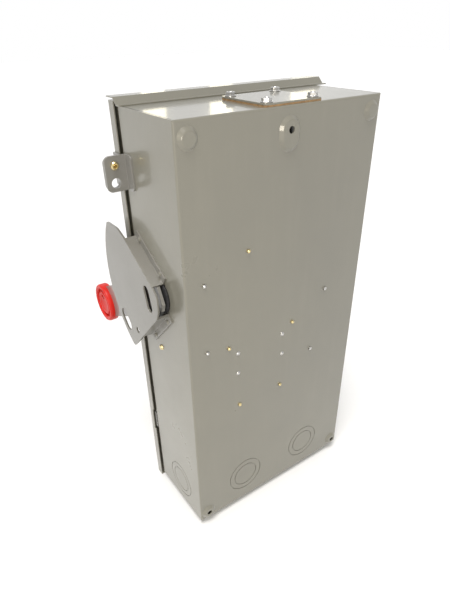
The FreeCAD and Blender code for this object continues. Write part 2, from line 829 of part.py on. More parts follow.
def make_hasp():
    thick = size("hasp_thick")
    face = half_width
    tip = half_width + size("hasp_reach")
    low = floor + size("hasp_low")
    high = floor + size("hasp_high")
    hole_z = floor + size("hasp_hole_height")
    screw_z = floor + size("hasp_screw_height")
    tab_y = rim + 5.5
    foot = block("hasp_foot", (face, face + thick), (tab_y, rim + 23), (low, high))
    tab = block("hasp_tab", (face, tip), (tab_y, tab_y + thick), (low, high))
    tip_x = float(tip)
    foot_rear = float(rim + 23)
    solid = rounded("hasp_round", fused("hasp_solid", [foot, tab]), 7,
                    lambda edge, middle: runs_along(edge, "y") and abs(middle.x - tip_x) < 0.01)
    solid = rounded("hasp_foot_round", solid, 5,
                    lambda edge, middle: runs_along(edge, "x") and abs(middle.y - foot_rear) < 0.01)
    padlock = rod("hasp_padlock_hole", size("hasp_hole_x"), tab_y - 2, hole_z, "y", size("hasp_hole"), 8)
    nut_hole = rod("hasp_nut_hole", size("hasp_screw_x"), tab_y - 2, screw_z, "y", 4.0, 8)
    finish(cut("hasp_bracket", solid, [padlock, nut_hole]))

    collar = rod("nut_collar", size("hasp_screw_x"), tab_y, screw_z, "y", 4.0, thick)
    flange = rod("nut_flange", size("hasp_screw_x"), tab_y + thick, screw_z, "y", 5, 2.4)
    crown = cone("nut_crown", size("hasp_screw_x"), tab_y + thick + 2.4, screw_z, "y", 5, 3.8, 1.4)
    bore = rod("nut_bore", size("hasp_screw_x"), tab_y - 2, screw_z, "y", 2.6, 12)
    finish(cut("hasp_nut", fused("nut_solid", [collar, flange, crown]), [bore]))

    side = half_width + size("cover_side")
    cover_tab_y = rim + 2
    strap = block("cover_hasp_strap", (side, side + thick), (rim - 20, cover_tab_y + thick),
                  (low + 2, high - 2))
    cover_tab = block("cover_hasp_tab", (side, tip), (cover_tab_y, cover_tab_y + thick),
                      (low + 2, high - 2))
    cover_solid = rounded("cover_hasp_round", fused("cover_hasp_solid", [strap, cover_tab]), 7,
                          lambda edge, middle: runs_along(edge, "y") and abs(middle.x - tip_x) < 0.01)
    cover_padlock = rod("cover_padlock_hole", size("hasp_hole_x"), cover_tab_y - 2, hole_z, "y",
                        size("hasp_hole"), 8)
    screw_hole = rod("cover_screw_hole", size("hasp_screw_x"), cover_tab_y - 2, screw_z, "y", 2.7, 8)
    finish(cut("cover_hasp", cover_solid, [cover_padlock, screw_hole]))

    # The captive screw is backed out of the nut, so the cover is free to open.
    shank = rod("captive_shank", size("hasp_screw_x"), cover_tab_y - 10, screw_z, "y", 2.5, 12.5)
    head = rod("captive_head", size("hasp_screw_x"), cover_tab_y - 15, screw_z, "y", 5.5, 5)
    slot = block("captive_slot", (size("hasp_screw_x") - 7, size("hasp_screw_x") + 7),
                 (cover_tab_y - 16, cover_tab_y - 13), (screw_z - 0.7, screw_z + 0.7))
    finish(cut("captive_screw", fused("captive_solid", [shank, head]), [slot]))


# ------------------------------------------------------- handle and guard

# The guard's outline, from the pivot: y towards the wall, z up.
GUARD_TOP_FRONT = (-105.5, 73.4)
GUARD_TOP_REAR = (-73, 74)
TOP_FLANGE = ((-53, 66), (15, 23.6))
GUARD_NOSE = ((27, 13), (26, -8))
LOWER_FLANGE = ((20.7, -21), (-35, -78))
GUARD_TIP = (-66.5, -110)
FOOT_WIDTH = 10


def guard_rivet_places():
    """Two rivets through each foot of the guard, outside its flanges."""
    places = []
    for start, end, outside in (TOP_FLANGE + (1,), LOWER_FLANGE + (1,)):
        run = FreeCAD.Vector(end[0] - start[0], end[1] - start[1], 0)
        side = FreeCAD.Vector(-run.y, run.x, 0).normalize() * (FOOT_WIDTH * 0.55 * outside)
        for share in (0.14, 0.86):
            point = FreeCAD.Vector(start[0], start[1], 0) + run * share + side
            places.append((pivot_y + point.x, pivot_z + point.y))
    return places


def make_guard():
    gap = size("guard_gap")
    thick = size("guard_thick")
    body = new_body("guard_plate")
    sketch = new_sketch(body, "guard_outline", "YZ_Plane")
    corners = [GUARD_TIP, LOWER_FLANGE[1], LOWER_FLANGE[0], GUARD_NOSE[1], GUARD_NOSE[0],
               TOP_FLANGE[1], TOP_FLANGE[0], GUARD_TOP_REAR, GUARD_TOP_FRONT]
    draw_outline(sketch, corners, (len(corners) - 1, (-size("guard_sweep"), 0), size("guard_sweep")))
    pad = add_pad(body, sketch, thick)
    tight = [GUARD_TIP, GUARD_TOP_FRONT] + list(GUARD_NOSE)
    eased = add_fillet(body, pad, 7, lambda edge, middle: runs_along(edge, "x") and
                       any(middle.distanceToPoint(FreeCAD.Vector(middle.x, *corner)) < 0.5
                           for corner in tight))
    add_fillet(body, eased, 24, lambda edge, middle: runs_along(edge, "x") and
               middle.distanceToPoint(FreeCAD.Vector(middle.x, *GUARD_TOP_REAR)) < 0.5)
    windows = new_sketch(body, "guard_windows", "YZ_Plane")
    tilt = math.radians(15)
    reach = 11
    draw_slot(windows, (reach * math.sin(tilt) * -1, reach * math.cos(tilt)),
              (reach * math.sin(tilt), -reach * math.cos(tilt)), 7.5)
    draw_circle(windows, -47.5, -72, 4.75)
    add_pocket(body, windows)
    lock = new_sketch(body, "guard_lock_window", "YZ_Plane")
    lock_radius = float(size("lock_radius"))
    ends = [(-lock_radius * math.cos(math.radians(angle)), -lock_radius * math.sin(math.radians(angle)))
            for angle in (36.5, 44)]
    draw_slot(lock, ends[0], ends[1], 10)
    add_pocket(body, lock)
    settle(body, half_width + gap, pivot_y, pivot_z)

    pieces = [body]
    for name, (start, end) in {"top": TOP_FLANGE, "lower": LOWER_FLANGE}.items():
        placed = [(pivot_y + y, pivot_z + z) for y, z in (start, end)]
        pieces.append(tilted_block(f"guard_{name}_flange", placed[0], placed[1],
                                   (half_width, half_width + gap + thick), -float(thick), 0))
        pieces.append(tilted_block(f"guard_{name}_foot", placed[0], placed[1],
                                   (half_width, half_width + thick), -float(thick), FOOT_WIDTH))
    rivet_holes = [rod(f"guard_foot_hole_{index}", half_width - 1, y, z, "x",
                       GUARD_RIVET_RADIUS + SLIP, 6)
                   for index, (y, z) in enumerate(guard_rivet_places())]
    finish(cut("handle_guard", fused("guard_solid", pieces), rivet_holes))

    rivets = []
    for index, (y, z) in enumerate(guard_rivet_places()):
        stem = rod(f"guard_rivet_stem_{index}", half_width - wall - 1.5, y, z, "x",
                   GUARD_RIVET_RADIUS, wall + thick + 1.5)
        head = cone(f"guard_rivet_head_{index}", half_width + thick, y, z, "x", 3.4, 2.2, 1.4)
        rivets.append(fused(f"guard_rivet_{index}", [stem, head]))
    finish(group("guard_rivets", rivets))


def make_shaft_bearing():
    """A moulded flange bush that the operating shaft turns in, through the right wall."""
    bore = size("shaft_radius") + size("running_gap")
    start = inner_side - 6
    flange = rod("bearing_flange", half_width, pivot_y, pivot_z, "x", 25, 3)
    raised = rod("bearing_raised", half_width + 3, pivot_y, pivot_z, "x", 20, 2)
    sleeve = rod("bearing_sleeve", start, pivot_y, pivot_z, "x", BEARING_SLEEVE, half_width - start)
    hole = rod("bearing_bore", start - 1, pivot_y, pivot_z, "x", bore, 20)
    finish(cut("shaft_bearing", fused("bearing_solid", [flange, raised, sleeve]), [hole]))


DISH_RADIUS = 70


def arm_frame():
    """The rotation that points a part's local -Y along the arm at rest."""
    return FreeCAD.Rotation(FreeCAD.Vector(1, 0, 0), float(size("arm_droop")))


def make_handle():
    near = half_width + size("arm_gap")
    thick = size("arm_thick")
    droop = arm_frame()

    hub = size("arm_hub_half")
    half = size("arm_half")
    reach = size("grip_reach")
    arm = new_body("arm_plate")
    outline = new_sketch(arm, "arm_outline", "YZ_Plane")
    draw_outline(outline, [(14, -hub), (22, 8 - hub), (22, hub - 8), (14, hub), (-72, hub), (-96, half),
                           (9 - reach, half), (-reach - 11, 14), (-reach - 11, -14),
                           (9 - reach, -half), (-96, -half), (-72, -hub)])
    add_pad(arm, outline, thick)
    openings = new_sketch(arm, "arm_openings", "YZ_Plane")
    draw_circle(openings, 0, 0, size("shaft_radius"))
    lock = size("lock_radius").number
    draw_slot(openings, (-lock, -5), (-lock, 5), 8)
    add_pocket(arm, openings)
    settle(arm, near, pivot_y, pivot_z, droop)
    collar = rod("arm_collar_outer", near - 1.7, pivot_y, pivot_z, "x", 15, 1.7)
    collar_bore = rod("arm_collar_bore", near - 3, pivot_y, pivot_z, "x", size("shaft_radius"), 4)
    arm_collar = cut("arm_collar", collar, [collar_bore])
    arm_solid = fused("arm_solid", [arm, arm_collar])

    def spot(up):
        """A point of the arm's far end, up square to the arm from the grip's centre."""
        point = droop.multVec(FreeCAD.Vector(0, -reach.number, up))
        return pivot_y + point.y, pivot_z + point.z

    back_x = half_width + size("grip_gap")
    face_x = back_x + size("grip_thick")
    floor_x = face_x - size("grip_recess")
    radius = size("grip_radius")
    bowl = radius - size("grip_rim")
    island = bowl - 4
    y, z = spot(0)
    knob = rod("grip_knob", back_x, y, z, "x", radius, size("grip_thick"))
    doc.recompute()
    knob_round = rounded("grip_round", knob, 2.6, lambda edge, point: not runs_along(edge, "x"))
    recess = rod("grip_bowl", floor_x, y, z, "x", bowl, size("grip_recess") + 1)
    boss = rod("grip_island", floor_x, y, z, "x", island, size("grip_recess") - 1.6)
    dish = doc.addObject("Part::Sphere", "grip_dish")
    bind(dish, "Radius", DISH_RADIUS)
    settle(dish, face_x - 4.2 + DISH_RADIUS, y, z)
    island_cut = cut("grip_island_dished", boss, [dish])
    grip = fused("grip_solid", [cut("grip_cup", knob_round, [recess]), island_cut])

    y, z = spot(size("grip_screw_up").number)
    seat = near + thick + 1
    stem = rod("grip_screw_stem", back_x + 1, y, z, "x", 2.5, seat - back_x - 1)
    head = cone("grip_screw_head", seat, y, z, "x", 4.2, 3, 2)
    screw_hole = rod("grip_screw_hole", back_x + 0.5, y, z, "x", 2.5 + SLIP, size("grip_thick"))
    well = rod("grip_screw_well", seat, y, z, "x", 4.4, size("grip_thick"))
    arm_hole = rod("grip_arm_hole", near - 1, y, z, "x", 2.5 + SLIP, thick + 2)
    slot_gap = doc.addObject("Part::Feature", "grip_arm_slot")
    doc.recompute()
    slot_gap.Shape = arm.Shape.copy()
    finish(cut("handle_arm", arm_solid, [arm_hole]))
    finish(cut("handle_grip", grip, [slot_gap, screw_hole, well]))
    finish(fused("grip_screw", [stem, head]))


def make_shaft():
    radius = size("shaft_radius")
    start = half_width - 34
    end = half_width + size("arm_gap") + size("arm_thick") + 3.4
    bar = rod("shaft_bar", start, pivot_y, pivot_z, "x", radius, end - start)
    doc.recompute()
    end_x = float(end)
    shaped = rounded("shaft_chamfer", bar, 1.2, lambda edge, point: abs(point.x - end_x) < 0.01)
    groove_x = half_width + size("arm_gap") + size("arm_thick")
    groove_outer = rod("shaft_groove_outer", groove_x, pivot_y, pivot_z, "x", radius + 2, 1.4)
    groove_inner = rod("shaft_groove_inner", groove_x - 1, pivot_y, pivot_z, "x", radius - 1, 4)
    groove = cut("shaft_groove", groove_outer, [groove_inner])
    finish(cut("operating_shaft", shaped, [groove]))

    ring = rod("ring_outer", groove_x, pivot_y, pivot_z, "x", radius + 3.2, 1.4)
    ring_bore = rod("ring_bore", groove_x - 1, pivot_y, pivot_z, "x", radius - 1, 4)
    mouth = block("ring_mouth", (groove_x - 1, groove_x + 3), (pivot_y - 3, pivot_y + 3),
                  (pivot_z - 14, pivot_z - 4))
    finish(cut("retaining_ring", ring, [ring_bore, mouth]))


# -------------------------------------------------------------- mechanism

CHEEK_INNER_X = (113, 115.5)
CHEEK_OUTER_X = (136.5, 139)
JOURNAL_RADIUS = 7
LEVER_PIVOT = (48, 436)


def make_mechanism_frame():
    """A U-shaped steel frame on the back wall that carries shaft, rotor and interlock."""
    base = block("frame_base", (CHEEK_INNER_X[0], CHEEK_OUTER_X[1]), (inner_back - 3, inner_back),
                 (floor + 315, floor + 448))
    cheeks = [block(f"frame_cheek_{index}", limits, (rim + 38, inner_back), (floor + 350, floor + 448))
              for index, limits in enumerate((CHEEK_INNER_X, CHEEK_OUTER_X))]
    front_y = float(rim + 38)
    solid = rounded("frame_round", fused("frame_solid", [base] + cheeks), 10,
                    lambda edge, point: runs_along(edge, "x") and abs(point.y - front_y) < 0.01)
    gap = size("running_gap")
    tools = [rod("frame_shaft_hole", CHEEK_OUTER_X[0] - 1, pivot_y, pivot_z, "x",
                 size("shaft_radius") + gap, 5),
             rod("frame_journal_hole", CHEEK_INNER_X[0] - 1, pivot_y, pivot_z, "x",
                 JOURNAL_RADIUS + gap, 5),
             rod("frame_lever_hole", CHEEK_OUTER_X[0] - 1, rim + LEVER_PIVOT[0], floor + LEVER_PIVOT[1],
                 "x", 3, 5)]
    for name, (x, height) in FRAME_SCREWS.items():
        tools.append(rod(f"frame_{name}_hole", x, inner_back - 4, floor + height, "y",
                         BACK_SCREW_RADIUS + SLIP, 6))
    finish(cut("mechanism_frame", solid, tools))


def make_drive_parts():
    """The crank on the shaft, the cam beside the wall and the wound drive spring."""
    radius = size("shaft_radius")
    crank_x = half_width - 28
    hub = rod("crank_hub", crank_x, pivot_y, pivot_z, "x", 14, 5)
    finger = block("crank_finger", (crank_x, crank_x + 5), (pivot_y - 5, pivot_y + 5),
                   (pivot_z, pivot_z + 26))
    peg = rod("crank_peg", crank_x - 6.5, pivot_y, pivot_z + 20, "x", 3, 8)
    crank_bore = rod("crank_bore", crank_x - 1, pivot_y, pivot_z, "x", radius, 8)
    finish(cut("drive_crank", fused("crank_solid", [hub, finger, peg]), [crank_bore]))

    cam_x = CHEEK_OUTER_X[1] + 0.4
    cam = rod("cam_disc", cam_x, pivot_y - 2, pivot_z, "x", 14, 2.4)
    cam_bore = rod("cam_bore", cam_x - 1, pivot_y, pivot_z, "x", radius, 5)
    finish(cut("interlock_cam", cam, [cam_bore]))

    spring = doc.addObject("Part::Feature", "drive_spring")
    helix = Part.makeHelix(2.4, 4.2, 11)
    start = FreeCAD.Vector(11, 0, 0)
    circle = Part.Wire(Part.makeCircle(0.9, start, FreeCAD.Vector(0, 1, 0)))
    spring.Shape = Part.Wire(helix.Edges).makePipeShell([circle], True, True)
    settle(spring, crank_x + 6.9, pivot_y, pivot_z, ALONG["x"])
    finish(spring)


def make_interlock():
    """A hook lever that holds the closed cover's tab while the handle is up."""
    body = new_body("interlock_lever")
    sketch = new_sketch(body, "interlock_outline", "YZ_Plane")
    draw_outline(sketch, [(-55, 16), (-10, 10), (7, 8), (10, -4), (17, -20), (11, -24), (2, -10),
                          (-44, 7.5), (-51.2, 7.5), (-51.2, 3.5), (-55, 3.5)])
    add_pad(body, sketch, 2.5)
    hole = new_sketch(body, "interlock_hole", "YZ_Plane")
    draw_circle(hole, 0, 0, 3 + size("running_gap"))
    add_pocket(body, hole)
    settle(body, CHEEK_OUTER_X[1] + 0.3, rim + LEVER_PIVOT[0], floor + LEVER_PIVOT[1])
    finish(body)

    pin_x = CHEEK_OUTER_X[0] - 1
    y, z = rim + LEVER_PIVOT[0], floor + LEVER_PIVOT[1]
    stem = rod("interlock_pin_stem", pin_x, y, z, "x", 3, 7.5)
    head = rod("interlock_pin_head", pin_x + 6.6, y, z, "x", 5, 1.6)
    finish(fused("interlock_pin", [stem, head]))

    inside = rim - size("cover_front") + wall + 0.8
    across = (133, 143)
    low = floor + 426
    foot = block("tab_foot", across, (inside, inside + 2), (low, low + 14))
    strap = block("tab_strap", across, (inside, rim - 0.8), (low, low + 2))
    bar = block("tab_bar", across, (rim - 2.8, rim - 0.8), (low, low + 11))
    finish(fused("interlock_tab", [foot, strap, bar]))


# ------------------------------------------------------------------ poles

def pole_positions():
    return [size("pole_centre") + size("pole_pitch") * step for step in (-1, 0, 1)]


def make_rotor():
    """The insulating crossbar with one double-break blade for each pole."""
    half = size("blade_half")
    thick = size("blade_thick")
    wide = size("blade_wide")
    # At rest the blades stand this far from the closed, upright position.
    open_angle = 57
    turn = FreeCAD.Rotation(FreeCAD.Vector(1, 0, 0), open_angle)
    blades = []
    slots = []
    for index, x in enumerate(pole_positions()):
        body = new_body(f"blade_{index}")
        sketch = new_sketch(body, f"blade_outline_{index}", "YZ_Plane")
        draw_rectangle(sketch, (-wide / 2, wide / 2), (-half, half))
        pad = add_pad(body, sketch, thick)
        add_fillet(body, pad, 5, lambda edge, middle: runs_along(edge, "x"))
        settle(body, x - thick / 2, pivot_y, pivot_z, turn)
        blades.append(body)
        slot = doc.addObject("Part::Box", f"blade_slot_{index}")
        bind(slot, "Length", thick)
        bind(slot, "Width", wide)
        bind(slot, "Height", half * 2)
        offset = turn.multVec(FreeCAD.Vector(0, -float(wide) / 2, -float(half)))
        settle(slot, x - thick / 2, pivot_y + offset.y, pivot_z + offset.z, turn)
        slots.append(slot)
    bar = doc.addObject("Part::Box", "crossbar_square")
    side = 26
    start_x = -38
    end_x = CHEEK_INNER_X[0] - 1
    bar.Length = end_x - start_x
    bar.Width = side
    bar.Height = side
    corner = turn.multVec(FreeCAD.Vector(0, -side / 2, -side / 2))
    settle(bar, start_x, pivot_y + corner.y, pivot_z + corner.z, turn)
    left = rod("left_journal", -47, pivot_y, pivot_z, "x", JOURNAL_RADIUS, 10)
    right = rod("right_journal", end_x - 1, pivot_y, pivot_z, "x", JOURNAL_RADIUS, 5.5)
    finish(cut("blade_crossbar", fused("crossbar_solid", [bar, left, right]), slots))
    finish(group("switch_blades", blades))

    post = block("post_column", (-48, -40), (rim + 48, inner_back), (pivot_z - 13, pivot_z + 13))
    post_foot = block("post_foot", (-62, -40), (inner_back - 4, inner_back), (pivot_z - 13, pivot_z + 13))
    front_y = float(rim + 48)
    column = rounded("post_round", fused("post_solid", [post, post_foot]), 9,
                     lambda edge, point: runs_along(edge, "x") and abs(point.y - front_y) < 0.01)
    hole = rod("post_hole", -49, pivot_y, pivot_z, "x", JOURNAL_RADIUS + size("running_gap"), 10)
    finish(cut("rotor_post", column, [hole]))


BASE_X = (-38, 108)


def make_base(name, low, high, rib_front, back_y, screws):
    """A moulded base with low barriers between the poles, screwed from inside."""
    plate = block(name + "_plate", BASE_X, (base_y, back_y), (floor + low, floor + high))
    ribs = []
    for index, step in enumerate((-0.5, 0.5)):
        x = size("pole_centre") + size("pole_pitch") * step
        ribs.append(block(f"{name}_rib_{index}", (x - 1.5, x + 1.5), (rim + rib_front, base_y + 1),
                          (floor + low + 4, floor + high - 4)))
    holes = [rod(f"{name}_hole_{index}", x, base_y - 1, floor + height, "y",
                 BACK_SCREW_RADIUS + SLIP, back_y - base_y + 2)
             for index, (x, height) in enumerate(screws)]
    holes += [rod(f"{name}_well_{index}", x, rim + rib_front - 1, floor + height, "y", 5.4,
                  base_y - rim - rib_front + 1)
              for index, (x, height) in enumerate(screws)]
    finish(cut(name, fused(name + "_solid", [plate] + ribs), holes))


def lug(name, x, low, high, axis_y):
    """An extruded aluminium terminal with a wire bore and a tapped screw hole."""
    body = block(name + "_block", (x - 11, x + 11), (axis_y - 12, base_y), (low, high))
    front_y = float(axis_y - 12)
    shaped = rounded(name + "_round", body, 4,
                     lambda edge, point: runs_along(edge, "z") and abs(point.y - front_y) < 0.01)
    bore = rod(name + "_bore", x, axis_y, low - 1, "z", size("lug_bore"), high - low + 2)
    middle = (low + high) / 2
    screw_hole = rod(name + "_screw_hole", x, axis_y - 14, middle, "y", 5, 14)
    return cut(name, shaped, [bore, screw_hole])


def lug_screw(name, x, low, high, axis_y):
    """A hollow-hex set screw, run part of the way in."""
    middle = (low + high) / 2
    body = rod(name + "_body", x, axis_y - 19, middle, "y", 5, 11.5)
    socket = hexagon(name + "_socket", x, axis_y - 20, middle, "y", 3, 5)
    return cut(name, body, [socket])


LUG_LEVELS = {"line": (466, 494), "load": (150, 178)}


def make_lugs():
    axis_y = base_y - 13
    for end, (low, high) in LUG_LEVELS.items():
        limits = (floor + low, floor + high, axis_y)
        finish(group(f"{end}_lugs", [lug(f"{end}_lug_{index}", x, *limits)
                                     for index, x in enumerate(pole_positions())]))
        finish(group(f"{end}_lug_screws", [lug_screw(f"{end}_lug_screw_{index}", x, *limits)
                                           for index, x in enumerate(pole_positions())]))


JAW_GAP = 0.35
JAW_LEAF = 2.2


def jaw_leaves(name, x, y, z):
    inner = size("blade_thick") / 2 + JAW_GAP
    return [block(f"{name}_leaf_{side + 1}", across, y, z) for side, across in
            ((-1, (x - inner - JAW_LEAF, x - inner)), (1, (x + inner, x + inner + JAW_LEAF)))]


def make_jaws():
    """Line jaws open downwards and forwards, load jaws open upwards and backwards."""
    outer = size("blade_thick") / 2 + JAW_GAP + JAW_LEAF
    line, load = [], []
    for index, x in enumerate(pole_positions()):
        leaves = jaw_leaves(f"line_jaw_{index}", x, (rim + 50, rim + 100), (floor + 430, floor + 455))
        bridge = block(f"line_jaw_bridge_{index}", (x - outer, x + outer), (rim + 50, rim + 100),
                       (floor + 453, floor + 456))
        strap = block(f"line_jaw_strap_{index}", (x - 9, x + 9), (rim + 84, base_y),
                      (floor + 456, floor + 459))
        turned = block(f"line_jaw_foot_{index}", (x - 9, x + 9), (base_y - 3, base_y),
                       (floor + 456, floor + 465.6))
        line.append(fused(f"line_jaw_{index}", leaves + [bridge, strap, turned]))

        leaves = jaw_leaves(f"load_jaw_{index}", x, (rim + 50, rim + 74), (floor + 334, floor + 358))
        bridge = block(f"load_jaw_bridge_{index}", (x - outer, x + outer), (rim + 50, rim + 74),
                       (floor + 331, floor + 334))
        strap = block(f"load_jaw_strap_{index}", (x - 9, x + 9), (rim + 50, base_y),
                      (floor + 328, floor + 331))
        turned = block(f"load_jaw_foot_{index}", (x - 9, x + 9), (base_y - 3, base_y),
                       (floor + 326, floor + 331))
        load.append(fused(f"load_jaw_{index}", leaves + [bridge, strap, turned]))
    finish(group("line_jaws", line))
    finish(group("load_jaws", load))


CLIP_LEVELS = {"upper": (292, 314), "lower": (184, 206)}


def make_fuse_clips():
    """Bladed-fuse clips: two sprung leaves that flare at the mouth, on a foot."""
    for end, (low, high) in CLIP_LEVELS.items():
        clips = []
        for index, x in enumerate(pole_positions()):
            name = f"{end}_clip_{index}"
            leaves = []
            for side in (-1, 1):
                near, far = x + 1.7 * side, x + 3.7 * side
                across = (near, far) if side > 0 else (far, near)
                leaves.append(block(f"{name}_leaf_{side + 1}", across, (rim + 84, base_y - 2),
                                    (floor + low, floor + high)))
                flare_near, flare_far = x + 3.7 * side, x + 6.2 * side
                flare = (flare_near, flare_far) if side > 0 else (flare_far, flare_near)
                leaves.append(block(f"{name}_flare_{side + 1}", flare, (rim + 84, rim + 86),
                                    (floor + low, floor + high)))
            foot = block(f"{name}_foot", (x - 9, x + 9), (base_y - 2, base_y), (floor + low, floor + high))
            clips.append(fused(name, leaves + [foot]))
        finish(group(f"{end}_fuse_clips", clips))


def make_arc_chutes():
    """An insulating hood over each line jaw, open at the front, the bottom and the back."""
    chutes = []
    for index, x in enumerate(pole_positions()):
        depth = (rim + 46, rim + 80)
        height = (floor + 424, floor + 463)
        shell = block(f"chute_shell_{index}", (x - 15, x + 15), depth, height)
        hollow = block(f"chute_hollow_{index}", (x - 12.5, x + 12.5), (rim + 40, rim + 90),
                       (floor + 420, floor + 460.5))
        sides = cut(f"chute_sides_{index}", shell, [hollow])
        foot = [block(f"chute_foot_{index}_{side + 1}", (x + 13.75 * side - 1.25, x + 13.75 * side + 1.25),
                      (rim + 79, base_y), (floor + 446, floor + 455)) for side in (-1, 1)]
        chutes.append(fused(f"arc_chute_{index}", [sides] + foot))
    finish(group("arc_chutes", chutes))


def make_line_shield():
    """A clear guard in front of the line lugs, standing on the line base."""
    front = block("shield_front", BASE_X, (rim + 66, rim + 68), (floor + 467, floor + 512))
    legs = [block(f"shield_leg_{index}", limits, (rim + 66, base_y), (floor + 470, floor + 502))
            for index, limits in enumerate(((BASE_X[0], BASE_X[0] + 2), (BASE_X[1] - 2, BASE_X[1])))]
    low_edge = float(floor + 512)
    solid = rounded("shield_round", fused("shield_solid", [front] + legs), 6,
                    lambda edge, point: runs_along(edge, "y") and point.z > low_edge - 0.01)
    probes = [rod(f"shield_probe_{index}", x, rim + 64, floor + 480, "y", 4, 6)
              for index, x in enumerate(pole_positions())]
    finish(cut("line_shield", solid, probes))


def make_load_plate():
    plate = block("load_plate_sheet", (-30, 100), (inner_back - 3, inner_back), (floor + 170, floor + 336))
    places = [BASE_SCREWS[name] for name in ("load_left", "load_right", "fuse_left", "fuse_right")]
    holes = [rod(f"load_plate_hole_{index}", x, inner_back - 4, floor + height, "y",
                 BACK_SCREW_RADIUS + SLIP, 6) for index, (x, height) in enumerate(places)]
    holes += [rod(f"load_plate_rivet_hole_{index}", x, inner_back - 4, floor + height, "y",
                  RIVET_RADIUS + SLIP, 6) for index, (x, height) in enumerate(PLATE_RIVETS.values())]
    finish(cut("load_plate", plate, holes))


def make_grounding():
    """A drilled ground bar on two feet, and one box lug, in the left-hand wire gutter."""
    x, height = GROUND_SCREWS["bar"]
    bar = block("bar_block", (x - 6, x + 6), (inner_back - 20, inner_back - 8),
                (floor + height - 35, floor + height + 35))
    foot = block("bar_foot", (x - 6, x + 6), (inner_back - 9, inner_back),
                 (floor + height - 8, floor + height + 8))
    steps = (-28, -16, 16, 28)
    wires = [rod(f"bar_wire_hole_{index}", x - 8, inner_back - 14, floor + height + step, "x", 3.2, 16)
             for index, step in enumerate(steps)]
    threads = [rod(f"bar_thread_{index}", x, inner_back - 21, floor + height + step, "y", 2.6, 8)
               for index, step in enumerate(steps)]
    mount = rod("bar_mount_hole", x, inner_back - 12, floor + height, "y", BACK_SCREW_RADIUS + SLIP, 14)
    finish(cut("ground_bar", fused("bar_solid", [bar, foot]), wires + threads + [mount]))
    screws = []
    for index, step in enumerate(steps):
        stem = rod(f"bar_screw_stem_{index}", x, inner_back - 21, floor + height + step, "y", 2.6, 5)
        head = rod(f"bar_screw_head_{index}", x, inner_back - 24, floor + height + step, "y", 4.2, 3)
        screws.append(fused(f"bar_screw_{index}", [stem, head]))
    finish(group("ground_bar_screws", screws))

    x, height = GROUND_SCREWS["lug"]
    body = block("ground_lug_block", (x - 9, x + 9), (inner_back - 22, inner_back),
                 (floor + height - 12, floor + height + 12))
    bore = rod("ground_lug_bore", x, inner_back - 12, floor + height - 14, "z", 5, 28)
    thread = rod("ground_lug_thread", x, inner_back - 24, floor + height, "y", 4, 12)
    seat = rod("ground_lug_seat", x, inner_back - 6, floor + height, "y", BACK_SCREW_RADIUS + SLIP, 8)
    finish(cut("ground_lug", body, [bore, thread, seat]))
    stem = rod("ground_lug_screw_body", x, inner_back - 26.5, floor + height, "y", 4, 9)
    socket = hexagon("ground_lug_socket", x, inner_back - 27.5, floor + height, "y", 2.4, 5)
    finish(cut("ground_lug_screw", stem, [socket]))


def back_screw(name, x, z, head_y, head_radius):
    """A screw from inside: its head is at head_y and its pointed tip stands out of the back."""
    shoulder = back + size("tip_reach") - SCREW_POINT
    stem = rod(name + "_stem", x, head_y, z, "y", BACK_SCREW_RADIUS, shoulder - head_y)
    tip = cone(name + "_tip", x, shoulder, z, "y", BACK_SCREW_RADIUS, BACK_SCREW_RADIUS / 3, SCREW_POINT)
    cap = rod(name + "_cap", x, head_y - SCREW_HEAD_HEIGHT, z, "y", head_radius, SCREW_HEAD_HEIGHT)
    return fused(name, [stem, tip, cap])


def make_back_fasteners():
    screws = [back_screw(f"base_screw_{name}", x, floor + height, base_y, SCREW_HEAD_RADIUS)
              for name, (x, height) in BASE_SCREWS.items()]
    finish(group("base_screws", screws))
    screws = [back_screw(f"frame_screw_{name}", x, floor + height, inner_back - FRAME_LEAF,
                         SCREW_HEAD_RADIUS) for name, (x, height) in FRAME_SCREWS.items()]
    finish(group("frame_screws", screws))
    fixings = []
    for name, inset in GROUND_INSETS.items():
        x, height = GROUND_SCREWS[name]
        fixings.append(rod(f"{name}_fixing", x, inner_back - inset, floor + height, "y",
                           BACK_SCREW_RADIUS, wall + size("tip_reach") + inset - 1))
    finish(group("ground_fixings", fixings))
    rivets = []
    for name, (x, height) in PLATE_RIVETS.items():
        z = floor + height
        stem = rod(f"plate_rivet_stem_{name}", x, inner_back - PLATE_LEAF, z, "y", RIVET_RADIUS,
                   wall + PLATE_LEAF)
        head = cone(f"plate_rivet_head_{name}", x, back, z, "y", 3.3, 1.6, 1.7)
        rivets.append(fused(f"plate_rivet_{name}", [stem, head]))
    finish(group("plate_rivets", rivets))

    y, z = rim + SIDE_SCREW[0], floor + SIDE_SCREW[1]
    stem = rod("side_screw_stem", half_width - 12, y, z, "x", BACK_SCREW_RADIUS, 12)
    head = cone("side_screw_head", half_width, y, z, "x", 4.4, 3, 2.4)
    finish(fused("side_screw", [stem, head]))


# ------------------------------------------------------------------ build

make_enclosure()
make_hub_closure()
make_drip_hood()
make_cover()
make_cover_catch()
make_hinges()
make_hasp()
make_guard()
make_shaft_bearing()
make_handle()
make_shaft()
make_mechanism_frame()
make_drive_parts()
make_interlock()
make_rotor()
make_load_plate()
line_screws = [BASE_SCREWS["line_centre"]]
load_screws = [BASE_SCREWS[name] for name in ("load_left", "load_right", "fuse_left", "fuse_right")]
make_base("line_base", 425, 505, 74, inner_back, line_screws)
make_base("fuse_base", 143, 333, 84, inner_back - 3, load_screws)
make_lugs()
make_jaws()
make_fuse_clips()
make_arc_chutes()
make_line_shield()
make_grounding()
make_back_fasteners()

